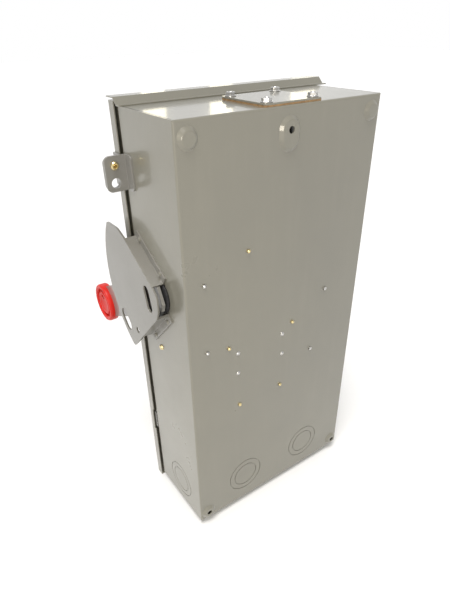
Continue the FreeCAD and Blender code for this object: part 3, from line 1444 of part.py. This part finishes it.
doc.recompute()
for item in doc.Objects:
    if "Invalid" in item.State or "Error" in item.State:
        raise RuntimeError(f"{item.Name} failed: {item.State}")
os.makedirs("parts", exist_ok=True)
for item in finished:
    shape = item.Shape
    if shape.isNull() or not shape.isValid() or not shape.Solids:
        raise RuntimeError(f"{item.Label} has no valid solid")
    shape.exportStep(f"parts/{item.Label}.step")
    box = shape.BoundBox
    print(f"{item.Label:20s} solids {len(shape.Solids):2d} volume {shape.Volume:10.1f}  "
          f"x {box.XMin:7.1f} {box.XMax:7.1f}  y {box.YMin:7.1f} {box.YMax:7.1f}  "
          f"z {box.ZMin:7.1f} {box.ZMax:7.1f}")
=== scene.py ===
import json
import math
import random

import bmesh
import bpy
from mathutils import Matrix, Vector


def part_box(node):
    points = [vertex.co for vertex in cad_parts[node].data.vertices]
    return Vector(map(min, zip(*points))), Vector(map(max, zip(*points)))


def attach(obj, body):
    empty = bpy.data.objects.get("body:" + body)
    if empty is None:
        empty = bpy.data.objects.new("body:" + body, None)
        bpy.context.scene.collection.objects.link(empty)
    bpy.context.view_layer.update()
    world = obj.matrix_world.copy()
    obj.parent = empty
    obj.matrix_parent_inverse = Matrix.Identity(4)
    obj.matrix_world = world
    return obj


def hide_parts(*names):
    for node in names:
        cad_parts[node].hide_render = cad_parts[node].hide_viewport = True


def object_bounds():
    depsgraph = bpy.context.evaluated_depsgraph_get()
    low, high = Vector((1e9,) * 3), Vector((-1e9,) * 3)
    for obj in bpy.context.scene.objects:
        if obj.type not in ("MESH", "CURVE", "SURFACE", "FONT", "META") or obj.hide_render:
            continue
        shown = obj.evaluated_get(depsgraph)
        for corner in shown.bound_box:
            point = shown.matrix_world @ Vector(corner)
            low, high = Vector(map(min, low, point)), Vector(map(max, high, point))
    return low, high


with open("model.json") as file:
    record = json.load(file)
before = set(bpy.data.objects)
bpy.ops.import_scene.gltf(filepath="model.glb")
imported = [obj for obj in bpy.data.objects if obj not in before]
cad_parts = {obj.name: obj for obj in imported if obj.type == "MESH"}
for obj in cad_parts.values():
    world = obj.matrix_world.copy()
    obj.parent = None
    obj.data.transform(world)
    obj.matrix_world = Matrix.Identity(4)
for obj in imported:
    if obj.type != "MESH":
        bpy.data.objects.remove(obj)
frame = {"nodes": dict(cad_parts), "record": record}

cad_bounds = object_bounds()
MM = 0.001


# ------------------------------------------------------- camera and studio

CAMERA_PLACE = Vector((0.390, 0.434, 0.1067))
CAMERA_LOOK = Vector((-0.48165, -0.70071, -0.52633))
CAMERA_UP = Vector((-0.31440, -0.42244, 0.85012))
CAMERA_LENS = 28.85
SENSOR = 36.0
FRAME_SHIFT = (-0.0076, 0.0311)
CAMERA_CLIP = (0.02, 60)

FLOOR_GAP = 0.0006
FLOOR_HALF = 12
FLOOR_WHITE = (0.80, 0.80, 0.80)

SUN_DIRECTION = Vector((0.24, 0.20, 0.95))
SUN_STRENGTH = 2.2
SUN_ANGLE = math.radians(24)
SUN_COLOUR = (1, 0.985, 0.96)

SIDE_LIGHT_PLACE = (0.70, 0.70, 0.16)
SIDE_LIGHT_AIM = (0.12, 0, -0.12)
SIDE_LIGHT_COLOUR = (1, 0.92, 0.77)

WINDOW_DIRECTION = Vector((-0.55, -0.82, 0.155))
WINDOW_TURNS = (-0.16, 0.02, 0.17)
WINDOW_DISTANCE = 3.4
WINDOW_AIM = (0, -0.07, 0.03)
WINDOW_COLOUR = (1, 0.92, 0.66)

ROOM_AXIS = (0.63, 0.776, 0.0)
ROOM_FADE = (-0.86, -0.30, 1.0, 0.66)


MAP_RANGE = ("From Min", "From Max", "To Min", "To Max")


def make_camera():
    data = bpy.data.cameras.new("camera")
    data.sensor_fit = "AUTO"
    data.sensor_width = SENSOR
    data.lens = CAMERA_LENS
    data.shift_x, data.shift_y = FRAME_SHIFT
    data.clip_start, data.clip_end = CAMERA_CLIP
    camera = bpy.data.objects.new("camera", data)
    bpy.context.scene.collection.objects.link(camera)
    right = CAMERA_LOOK.cross(CAMERA_UP).normalized()
    up = right.cross(CAMERA_LOOK).normalized()
    turn = Matrix((right, up, -CAMERA_LOOK.normalized())).transposed()
    camera.matrix_world = Matrix.Translation(CAMERA_PLACE) @ turn.to_4x4()
    bpy.context.scene.camera = camera


def area_light(name, place, aim, size, power, colour):
    data = bpy.data.lights.new(name, "AREA")
    data.shape = "RECTANGLE"
    data.size, data.size_y = size
    data.energy = power
    data.color = colour
    light = bpy.data.objects.new(name, data)
    light.location = place
    direction = Vector(aim) - Vector(place)
    light.rotation_mode = "QUATERNION"
    light.rotation_quaternion = direction.to_track_quat("-Z", "Y")
    bpy.context.scene.collection.objects.link(light)


def make_floor():
    low = cad_bounds[0].z - FLOOR_GAP
    corners = [(x * FLOOR_HALF, y * FLOOR_HALF, low) for x, y in ((-1, -1), (1, -1), (1, 1), (-1, 1))]
    mesh = bpy.data.meshes.new("floor")
    mesh.from_pydata(corners, [], [(0, 1, 2, 3)])
    floor = bpy.data.objects.new("floor", mesh)
    bpy.context.scene.collection.objects.link(floor)
    paint = Shader("studio_floor", FLOOR_WHITE, roughness=0.9)
    paint.surface.inputs["Specular IOR Level"].default_value = 0.0
    mesh.materials.append(paint.material)


def make_key():
    sun = bpy.data.lights.new("key", "SUN")
    sun.energy = SUN_STRENGTH
    sun.angle = SUN_ANGLE
    sun.color = SUN_COLOUR
    key = bpy.data.objects.new("key", sun)
    key.rotation_mode = "QUATERNION"
    key.rotation_quaternion = SUN_DIRECTION.to_track_quat("Z", "Y")
    bpy.context.scene.collection.objects.link(key)


def make_studio():
    """A plain pale floor, a soft overhead key, a side fill and three small warm windows."""
    make_floor()
    bpy.context.scene.world = studio_world()
    bpy.context.scene.view_settings.view_transform = "Standard"
    make_key()
    area_light("side_soft", SIDE_LIGHT_PLACE, SIDE_LIGHT_AIM, (0.22, 0.4), 4.4, SIDE_LIGHT_COLOUR)
    for index, turn in enumerate(WINDOW_TURNS):
        place = Matrix.Rotation(turn, 3, "Z") @ WINDOW_DIRECTION * WINDOW_DISTANCE
        area_light(f"window_{index}", place, WINDOW_AIM, (0.17, 0.30), 0.45, WINDOW_COLOUR)


def studio_world():
    """A soft white room, at full brightness behind the object and a little dimmer elsewhere."""
    world = bpy.data.worlds.new("studio")
    world.use_nodes = True
    tree = world.node_tree
    background = tree.nodes["Background"]
    background.inputs["Color"].default_value = (1.0, 1.0, 1.0, 1)
    direction = tree.nodes.new("ShaderNodeTexCoord")
    facing = tree.nodes.new("ShaderNodeVectorMath")
    facing.operation = "DOT_PRODUCT"
    facing.inputs[1].default_value = ROOM_AXIS
    falloff = tree.nodes.new("ShaderNodeMapRange")
    for name, value in zip(MAP_RANGE, ROOM_FADE):
        falloff.inputs[name].default_value = value
    tree.links.new(direction.outputs["Generated"], facing.inputs[0])
    tree.links.new(facing.outputs["Value"], falloff.inputs["Value"])
    tree.links.new(falloff.outputs["Result"], background.inputs["Strength"])
    return world


# -------------------------------------------------------------- materials

BEVEL_SAMPLES = 4
EDGE_TURN = (0.995, 0.75)


def paler(colour, gain, lift):
    return tuple(min(1.0, channel * gain + lift) for channel in colour)


class Shader:
    """A principled material and the few node patterns that all of them use."""

    def __init__(self, name, colour, roughness=0.5, metallic=0.0):
        self.material = bpy.data.materials.new(name)
        self.material.use_nodes = True
        self.tree = self.material.node_tree
        self.surface = self.tree.nodes["Principled BSDF"]
        self.surface.inputs["Base Color"].default_value = (*colour, 1)
        self.surface.inputs["Roughness"].default_value = roughness
        self.surface.inputs["Metallic"].default_value = metallic
        self.place = self.node("ShaderNodeTexCoord").outputs["Object"]
        self.normal = None

    def node(self, kind, **settings):
        made = self.tree.nodes.new(kind)
        for name, value in settings.items():
            setattr(made, name, value)
        return made

    def wire(self, source, target):
        self.tree.links.new(source, target)

    def stretch(self, scale):
        """Object coordinates scaled apart on each axis, for grain that runs one way."""
        mapping = self.node("ShaderNodeMapping")
        mapping.inputs["Scale"].default_value = scale
        self.wire(self.place, mapping.inputs["Vector"])
        return mapping.outputs["Vector"]

    def noise(self, scale, detail=3, roughness=0.55, stretch=None):
        made = self.node("ShaderNodeTexNoise")
        made.inputs["Scale"].default_value = scale
        made.inputs["Detail"].default_value = detail
        made.inputs["Roughness"].default_value = roughness
        self.wire(self.stretch(stretch) if stretch else self.place, made.inputs["Vector"])
        return made.outputs["Fac"]

    def cells(self, scale):
        made = self.node("ShaderNodeTexVoronoi")
        made.inputs["Scale"].default_value = scale
        self.wire(self.place, made.inputs["Vector"])
        return made.outputs["Distance"]

    def remap(self, source, low, high, to_low=0.0, to_high=1.0):
        made = self.node("ShaderNodeMapRange")
        for name, value in zip(MAP_RANGE, (low, high, to_low, to_high)):
            made.inputs[name].default_value = value
        self.wire(source, made.inputs["Value"])
        return made.outputs["Result"]

    def math(self, operation, first, second):
        made = self.node("ShaderNodeMath", operation=operation)
        for socket, value in zip(made.inputs, (first, second)):
            if isinstance(value, (int, float)):
                socket.default_value = value
            else:
                self.wire(value, socket)
        return made.outputs["Value"]

    def blend(self, factor, first, second):
        """Mix two colours (or colour sockets) by a factor socket."""
        made = self.node("ShaderNodeMix", data_type="RGBA")
        self.wire(factor, made.inputs["Factor"])
        for name, value in (("A_Color", first), ("B_Color", second)):
            socket = next(s for s in made.inputs if s.identifier == name)
            if isinstance(value, tuple):
                socket.default_value = (*value, 1)
            else:
                self.wire(value, socket)
        return next(s for s in made.outputs if s.identifier == "Result_Color")

    def bevel(self, radius):
        """Soften the look of every edge; called before any bump."""
        made = self.node("ShaderNodeBevel", samples=BEVEL_SAMPLES)
        made.inputs["Radius"].default_value = radius
        self.normal = made.outputs["Normal"]

    def edges(self, radius):
        """A mask that is 1 along edges and 0 on flat stretches."""
        worn = self.node("ShaderNodeBevel", samples=BEVEL_SAMPLES)
        worn.inputs["Radius"].default_value = radius
        flat = self.node("ShaderNodeNewGeometry").outputs["Normal"]
        dot = self.node("ShaderNodeVectorMath", operation="DOT_PRODUCT")
        self.wire(worn.outputs["Normal"], dot.inputs[0])
        self.wire(flat, dot.inputs[1])
        return self.remap(dot.outputs["Value"], *EDGE_TURN)

    def bump(self, height, strength, distance):
        """Add relief over the relief made so far."""
        made = self.node("ShaderNodeBump")
        made.inputs["Strength"].default_value = strength
        made.inputs["Distance"].default_value = distance
        self.wire(height, made.inputs["Height"])
        if self.normal is not None:
            self.wire(self.normal, made.inputs["Normal"])
        self.normal = made.outputs["Normal"]

    def finish(self, colour=None, roughness=None):
        if colour is not None:
            self.wire(colour, self.surface.inputs["Base Color"])
        if roughness is not None:
            self.wire(roughness, self.surface.inputs["Roughness"])
        if self.normal is not None:
            self.wire(self.normal, self.surface.inputs["Normal"])
        return self.material


WIPE_STRETCH = (9.0, 3.0, 1.2)


def enamel(name, colour, shade, softened=True):
    """Baked enamel on sheet steel: fine orange peel, faint smudges, pale edges that are partly wear and
    partly a painted highlight along the bends.

    softened is False where panels of one sheet meet on a mitre, which has no real edge.
    """
    paint = Shader(name, colour)
    paint.surface.inputs["Coat Weight"].default_value = 0.6
    paint.surface.inputs["Coat Roughness"].default_value = 0.10
    if softened:
        paint.bevel(0.0009)
    paint.bump(paint.noise(6, 2), 0.3, 0.004)
    paint.bump(paint.noise(380, 2), 0.12, 0.0005)
    tone = paint.remap(paint.noise(4.5, 4), 0.3, 0.7)
    body = paint.blend(tone, colour, shade)
    dust = paint.remap(paint.noise(70, 6, 0.7), 0.56, 0.9, 0.0, 0.10)
    body = paint.blend(dust, body, paler(colour, 1.2, 0.02))
    if softened:
        # Paler edges: part wear, part painted highlight where the bends catch the light.
        edge_wear_and_highlight = paint.math("MULTIPLY", paint.edges(0.0011),
                            paint.remap(paint.noise(90, 4), 0.35, 0.65, 0.2, 0.8))
        body = paint.blend(edge_wear_and_highlight, body, paler(colour, 1.6, 0.05))
    wiped = paint.remap(paint.noise(5, 5, 0.6, WIPE_STRETCH), 0.50, 0.72, 0.0, 0.05)
    body = paint.blend(wiped, body, paler(colour, 1.5, 0.03))
    gloss = paint.remap(paint.noise(9, 5, 0.65), 0.3, 0.7, 0.26, 0.38)
    return paint.finish(body, gloss)


def plated(name, colour, tint, roughness=(0.22, 0.42)):
    """Zinc or chromate plate: cloudy tint, fine drawn grain, bright worn edges."""
    metal = Shader(name, colour, metallic=1.0)
    metal.bevel(0.0004)
    metal.bump(metal.noise(900, 3), 0.2, 0.0003)
    cloud = metal.remap(metal.noise(140, 4), 0.35, 0.68)
    body = metal.blend(cloud, colour, tint)
    stain = metal.remap(metal.cells(220), 0.1, 0.6, 0.0, 0.35)
    body = metal.blend(stain, body, paler(colour, 0.72, 0))
    worn = metal.edges(0.0006)
    body = metal.blend(worn, body, paler(colour, 1.25, 0))
    return metal.finish(body, metal.remap(metal.noise(60, 4), 0.3, 0.7, *roughness))


def moulded(name, colour, shade, roughness=(0.36, 0.52), grain=1500, depth=0.0002):
    """Moulded plastic: spark-eroded grain, flow shading and scuffed edges."""
    plastic = Shader(name, colour)
    plastic.surface.inputs["Specular IOR Level"].default_value = 0.3
    plastic.bevel(0.0008)
    plastic.bump(plastic.noise(grain, 3), 0.35, depth)
    body = plastic.blend(plastic.remap(plastic.noise(22, 5), 0.3, 0.7), colour, shade)
    scuff = plastic.math("MULTIPLY", plastic.edges(0.0014),
                         plastic.remap(plastic.noise(260, 4), 0.4, 0.7))
    body = plastic.blend(scuff, body, paler(colour, 1.35, 0.05))
    return plastic.finish(body, plastic.remap(plastic.noise(70, 4), 0.3, 0.7, *roughness))


TAN = (0.36, 0.23, 0.11)
TAN_SHADE = (0.22, 0.13, 0.06)
TAN_PORE_PAINTED_SHADE = (0.10, 0.06, 0.03)


def gasket_foam():
    """Tan closed-cell gasket with open pores on its cut edge, darkened in the pores as painted shade."""
    foam = Shader("gasket", TAN)
    foam.bevel(0.0005)
    pores = foam.cells(1300)
    foam.bump(pores, 0.8, 0.0004)
    body = foam.blend(foam.remap(foam.noise(240, 5), 0.3, 0.7), TAN, TAN_SHADE)
    # Darker in the pore hollows: painted shade.
    body = foam.blend(foam.remap(pores, 0.0, 0.25, 0.6, 0.0), body, TAN_PORE_PAINTED_SHADE)
    return foam.finish(body, foam.remap(foam.noise(300, 2), 0.3, 0.7, 0.75, 0.92))


def clear_sheet():
    """Clear polycarbonate with faint smears."""
    clear = Shader("clear_plastic", (0.93, 0.95, 0.96), roughness=0.06)
    clear.surface.inputs["Transmission Weight"].default_value = 0.92
    clear.surface.inputs["IOR"].default_value = 1.5
    clear.bump(clear.noise(30, 3), 0.05, 0.001)
    return clear.finish(roughness=clear.remap(clear.noise(25, 5), 0.35, 0.75, 0.04, 0.16))


GREY = (0.196, 0.187, 0.150)
GREY_SHADE = (0.181, 0.174, 0.144)
# The handle guard has the box's grey enamel made darker: painted shade over its brightly lit faces.
GUARD_GREY_PAINTED_SHADE = (0.160, 0.152, 0.130)
GUARD_TONE_PAINTED_SHADE = (0.148, 0.142, 0.124)
LOOKS = {
    "box_back": "shell_paint",
    "box_right_wall": "shell_paint",
    "box_left_wall": "shell_paint",
    "box_roof": "shell_paint",
    "box_floor": "shell_paint",
    "handle_guard": "guard_paint_painted_shade",
}


def make_materials():
    return {
        "shell_paint": enamel("shell_paint", GREY, GREY_SHADE, softened=False),
        "grey_paint": enamel("grey_paint", GREY, GREY_SHADE),
        # A darker copy of the same grey enamel for the guard, as painted shade.
        "guard_paint_painted_shade": enamel("guard_paint_painted_shade", GUARD_GREY_PAINTED_SHADE, GUARD_TONE_PAINTED_SHADE),
        "dark_grey_paint": enamel("dark_grey_paint", (0.198, 0.192, 0.176), (0.180, 0.176, 0.164)),
        "gasket": gasket_foam(),
        "zinc": plated("zinc", (0.60, 0.59, 0.57), (0.50, 0.50, 0.50)),
        "yellow_zinc": plated("yellow_zinc", (0.80, 0.66, 0.34), (0.70, 0.60, 0.38)),
        "green_zinc": plated("green_zinc", (0.05, 0.26, 0.11), (0.08, 0.32, 0.16)),
        "black_plastic": moulded("black_plastic", (0.016, 0.016, 0.018), (0.026, 0.026, 0.028)),
        "brown_plastic": moulded("brown_plastic", (0.030, 0.022, 0.018), (0.048, 0.036, 0.030)),
        "red_plastic": moulded("red_plastic", (0.60, 0.014, 0.007), (0.52, 0.011, 0.005), (0.34, 0.46)),
        "fibre": moulded("fibre", (0.30, 0.20, 0.12), (0.36, 0.26, 0.17), (0.55, 0.75), 700, 0.0003),
        "clear_plastic": clear_sheet(),
        "lug_aluminium": plated("lug_aluminium", (0.70, 0.71, 0.73), (0.62, 0.63, 0.65), (0.3, 0.5)),
        "copper": plated("copper", (0.78, 0.36, 0.20), (0.66, 0.30, 0.18), (0.25, 0.45)),
        "black_steel": plated("black_steel", (0.06, 0.06, 0.065), (0.09, 0.09, 0.095), (0.3, 0.5)),
    }


def dress_nodes(materials):
    """Every CAD node takes the material of its slot in the record, or the one that LOOKS gives it."""
    for part in frame["record"]["subparts"]:
        mesh = frame["nodes"][part["node"]].data
        look = LOOKS.get(part["node"], part["material_slot"])
        mesh.materials.clear()
        mesh.materials.append(materials[look])


# ------------------------------------------------------------ shaped pieces

AXIS_TURNS = {"x": Matrix.Rotation(math.radians(90), 4, "Y"), "z": Matrix.Identity(4)}
SMOOTH_ANGLE = math.radians(38)
ON_AXIS = 1e-6


def revolve(bm, profile, place, axis, steps=64, wave=None):
    """Turn a profile of (radius, distance along the axis), in mm, about the axis.

    wave(angle, radius) gives a radius change, for ribs and flutes.
    """
    turn = Matrix.Translation(Vector(place) * MM) @ AXIS_TURNS[axis]
    rings = []
    for radius, along in profile:
        if radius < ON_AXIS:
            rings.append([bm.verts.new(turn @ Vector((0, 0, along * MM)))])
            continue
        ring = []
        for step in range(steps):
            angle = 2 * math.pi * step / steps
            reach = radius + (wave(angle, radius) if wave else 0)
            ring.append(bm.verts.new(turn @ Vector((reach * math.cos(angle) * MM,
                                                    reach * math.sin(angle) * MM, along * MM))))
        rings.append(ring)
    for first, second in zip(rings, rings[1:]):
        for step in range(steps):
            after = (step + 1) % steps
            corners = [first[step % len(first)], first[after % len(first)],
                       second[after % len(second)], second[step % len(second)]]
            distinct = list(dict.fromkeys(corners))
            if len(distinct) > 2:
                bm.faces.new(distinct)


def rounded_profile(points, radius, steps=4):
    """Round every inner corner of a profile with a short arc of about that radius."""
    smooth = [points[0]]
    for before, corner, after in zip(points, points[1:], points[2:]):
        here = Vector(corner)
        to_before, to_after = Vector(before) - here, Vector(after) - here
        reach = min(radius, to_before.length * 0.45, to_after.length * 0.45)
        start = here + to_before.normalized() * reach
        end = here + to_after.normalized() * reach
        for step in range(steps + 1):
            share = step / steps
            rest = 1 - share
            smooth.append(tuple(start * rest ** 2 + here * (2 * share * rest) + end * share ** 2))
    smooth.append(points[-1])
    return smooth


def hexagon_reach(angle, radius):
    """How far a hexagon with that inner radius stands out of its inner circle."""
    sector = math.pi / 3
    return radius * (1 / math.cos((angle % sector) - sector / 2) - 1)


def piece(name, bm, body, material, replaced=None):
    """Close a bmesh into an object that rides a CAD body."""
    bmesh.ops.recalc_face_normals(bm, faces=bm.faces)
    mesh = bpy.data.meshes.new(name)
    bm.to_mesh(mesh)
    bm.free()
    mesh.polygons.foreach_set("use_smooth", [True] * len(mesh.polygons))
    mesh.set_sharp_from_angle(angle=SMOOTH_ANGLE)
    mesh.materials.append(material)
    made = bpy.data.objects.new(name, mesh)
    bpy.context.scene.collection.objects.link(made)
    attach(made, body)
    if replaced:
        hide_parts(replaced)
    return made


def box_of(name):
    """The low and high corners of a node, in mm."""
    return tuple(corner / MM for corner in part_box(name))


def middle_of(name):
    low, high = box_of(name)
    return (low + high) / 2


SCREW_INSET = 7.25
WASHER_RADIUS = 7.2
HEX_RADIUS = 5.25
HEX_ROUND_BELOW = 4.5
THREAD_RADIUS = 2.45
THREAD_DEPTH = 0.3
THREAD_STEP = 0.5
THREAD_STEPS = 22
POINT_LENGTH = 1.8


def hub_screw(bm, place, seat, low, turn):
    """One hex washer head with a dished crown, and its thread down to the point at low."""
    washer = [(0, 0), (WASHER_RADIUS, 0), (WASHER_RADIUS, 0.9), (5.6, 1.3), (0, 1.3)]
    head = [(0, 1.0), (HEX_RADIUS, 1.0), (HEX_RADIUS, 4.3), (4.9, 4.7), (4.3, 4.95), (3.6, 5.0),
            (3.0, 4.3), (0, 4.1)]
    thread_low = low + POINT_LENGTH
    shank = [(0, low), (1.7, low), (THREAD_RADIUS, thread_low)]
    shank += [(THREAD_RADIUS - THREAD_DEPTH * (step % 2), thread_low + step * THREAD_STEP)
              for step in range(THREAD_STEPS)]
    shank += [(THREAD_RADIUS, 0.1), (0, 0.1)]
    x, y = place
    revolve(bm, rounded_profile(washer, 0.5), (x, y, seat), "z", 48)
    revolve(bm, head, (x, y, seat), "z", 48,
            lambda angle, radius: hexagon_reach(angle + turn, radius) if radius > HEX_ROUND_BELOW else 0)
    revolve(bm, shank, (x, y, seat), "z", 24)


def make_hub_screws(materials):
    """The four screws of the hub plate, each head turned its own way."""
    bm = bmesh.new()
    low, high = box_of("hub_screws")
    seat = box_of("hub_plate")[1].z
    for x in (low.x + SCREW_INSET, high.x - SCREW_INSET):
        for y in (low.y + SCREW_INSET, high.y - SCREW_INSET):
            turn = random.Random(round(x * 7 + y)).uniform(0, 1.0)
            hub_screw(bm, (x, y), seat, low.z + 0.2 - seat, turn)
    piece("hub_screw_heads", bm, "box", materials["zinc"], "hub_screws")


def carve(made, cutter):
    """Cut the closed bmesh out of a piece's mesh for good."""
    bmesh.ops.recalc_face_normals(cutter, faces=cutter.faces)
    tool_mesh = bpy.data.meshes.new("cutter")
    cutter.to_mesh(tool_mesh)
    cutter.free()
    tool = bpy.data.objects.new("cutter", tool_mesh)
    bpy.context.scene.collection.objects.link(tool)
    cut = made.modifiers.new("cut", "BOOLEAN")
    cut.operation = "DIFFERENCE"
    cut.solver = "EXACT"
    cut.object = tool
    bpy.context.view_layer.update()
    carved = bpy.data.meshes.new_from_object(made.evaluated_get(bpy.context.evaluated_depsgraph_get()))
    made.modifiers.clear()
    made.data = carved
    bpy.data.objects.remove(tool)


GRIP_RADIUS = 31.2
GRIP_RIBS = 48
RIB_DEPTH = 0.12
WELL_RADIUS = 4.2
WELL_FLOOR = 9.0
WELL_MOUTH = 19.0


def make_grip(materials):
    """The red knob: rolled rim, groove, dished boss and a screw well."""
    centre = middle_of("handle_grip")
    inner = box_of("handle_grip")[0].x
    screw = middle_of("grip_screw")
    profile = [(0, 0), (29.2, 0), (GRIP_RADIUS, 2.4), (GRIP_RADIUS, 12.8), (30.2, 15.2), (28.4, 15.8),
               (25.6, 15.3), (24.0, 14.0), (23.4, 9.8), (19.9, 9.8), (19.2, 13.4), (18.2, 14.3),
               (15.2, 13.9), (12.6, 12.9), (6.0, 12.0), (0, 11.8)]
    rib_start = GRIP_RADIUS - 0.2
    bm = bmesh.new()
    revolve(bm, rounded_profile(profile, 1.4), (inner, centre.y, centre.z), "x", 128,
            lambda angle, radius: RIB_DEPTH * math.cos(angle * GRIP_RIBS) if radius > rib_start else 0)
    grip = piece("grip_knob", bm, "handle", materials["red_plastic"], "handle_grip")
    well = bmesh.new()
    revolve(well, [(0, WELL_FLOOR), (WELL_RADIUS, WELL_FLOOR), (WELL_RADIUS, WELL_MOUTH), (0, WELL_MOUTH)],
            (inner, screw.y, screw.z), "x", 40)
    carve(grip, well)


BEARING_BORE = 8.3
BEARING_SLEEVE = 10.9
BEARING_RADIUS = 24.9
BEARING_RIBS = 60
BEARING_RIB_DEPTH = 0.35


def make_bearing(materials):
    """The black disc that carries the shaft, with fine moulded ribs on its rim."""
    centre = middle_of("shaft_bearing")
    wall = box_of("box_right_wall")[1].x
    face = box_of("shaft_bearing")[1].x - wall
    bore, sleeve, rim = BEARING_BORE, BEARING_SLEEVE, BEARING_RADIUS
    profile = [(bore, -7.4), (sleeve, -7.4), (sleeve, 0.05), (rim - 0.5, 0.05), (rim, 0.6), (rim, face - 2.4),
               (24.2, face - 1.9), (23.2, face - 1.9), (22.8, face - 1.2), (20.2, face - 1.2),
               (19.8, face - 0.6), (16.4, face - 0.6), (16.0, face), (bore + 0.3, face),
               (bore, face - 0.4), (bore, -7.4)]
    rib_start = rim - 0.4
    bm = bmesh.new()
    revolve(bm, rounded_profile(profile, 0.25, 2), (wall, centre.y, centre.z), "x", 240,
            lambda angle, radius: -BEARING_RIB_DEPTH * (math.cos(angle * BEARING_RIBS) > 0)
            if radius > rib_start else 0)
    piece("bearing_disc", bm, "box", materials["black_plastic"], "shaft_bearing")


GASKET_CUTS = 40


def make_gasket(materials):
    """The tan gasket, squeezed out unevenly along its edges."""
    low, high = box_of("hub_gasket")
    source = frame["nodes"]["hub_gasket"].data
    bm = bmesh.new()
    bm.from_mesh(source)
    bmesh.ops.subdivide_edges(bm, edges=[edge for edge in bm.edges if edge.calc_length() > 0.02],
                              cuts=GASKET_CUTS, use_grid_fill=False)
    centre = (low + high) / 2
    half = (high.x - low.x) / 2
    for vertex in bm.verts:
        spot = vertex.co / MM - centre
        if max(abs(spot.x), abs(spot.y)) > half - 0.3:
            along = spot.x if abs(spot.y) > abs(spot.x) else spot.y
            bulge = 0.28 * math.sin(along * 0.61) + 0.22 * math.sin(along * 1.37 + spot.x * 0.2)
            outward = Vector((spot.x, spot.y, 0)).normalized()
            vertex.co += outward * bulge * MM
    piece("gasket_edge", bm, "box", materials["gasket"], "hub_gasket")


SEAM_STEPS = 60
SEAM_LIMITS = (149.32, 150.38)
SEAM_FRONT = 14
SEAM_BACK = 7


def make_seam_shadows(materials):
    """A thin dark strip laid unevenly in the open seams beside the roof: painted shadow in the gaps."""
    low, high = box_of("box_roof")
    inner, outer = SEAM_LIMITS
    bm = bmesh.new()
    for side in (-1, 1):
        rows = []
        for step in range(SEAM_STEPS + 1):
            y = low.y + SEAM_FRONT + (high.y - low.y - SEAM_FRONT - SEAM_BACK) * step / SEAM_STEPS
            sink = 0.14 + 0.08 * math.sin(step * 0.9) + 0.05 * math.sin(step * 2.3)
            rows.append([bm.verts.new(Vector((side * x, y, high.z - depth)) * MM)
                         for x, depth in ((inner, sink), ((inner + outer) / 2, sink + 0.12), (outer, sink))])
        for first, second in zip(rows, rows[1:]):
            for column in (0, 1):
                bm.faces.new((first[column], first[column + 1], second[column + 1], second[column]))
    # The dark strip in black plastic stands for the shadow in the seam gaps.
    piece("roof_seam_painted_shadow", bm, "box", materials["black_plastic"])


HASP_THICK = 2.5
DOT_FROM_END = 7
DOT_FROM_BACK = 6


def make_weld_dots(materials):
    """Shallow spot-weld dimples on the foot of the hasp."""
    bm = bmesh.new()
    low, high = box_of("hasp_bracket")
    dot = [(2.3, 0.02), (2.1, 0.22), (1.5, 0.30), (1.2, 0.16), (0, 0.10)]
    for z in (low.z + DOT_FROM_END, high.z - DOT_FROM_END):
        revolve(bm, dot, (low.x + HASP_THICK, high.y - DOT_FROM_BACK, z), "x", 32)
    piece("hasp_weld_dots", bm, "box", materials["dark_grey_paint"])


# ------------------------------------------------------------------ build

make_camera()
make_studio()
materials = make_materials()
dress_nodes(materials)
make_hub_screws(materials)
make_grip(materials)
make_bearing(materials)
make_gasket(materials)
make_seam_shadows(materials)
make_weld_dots(materials)
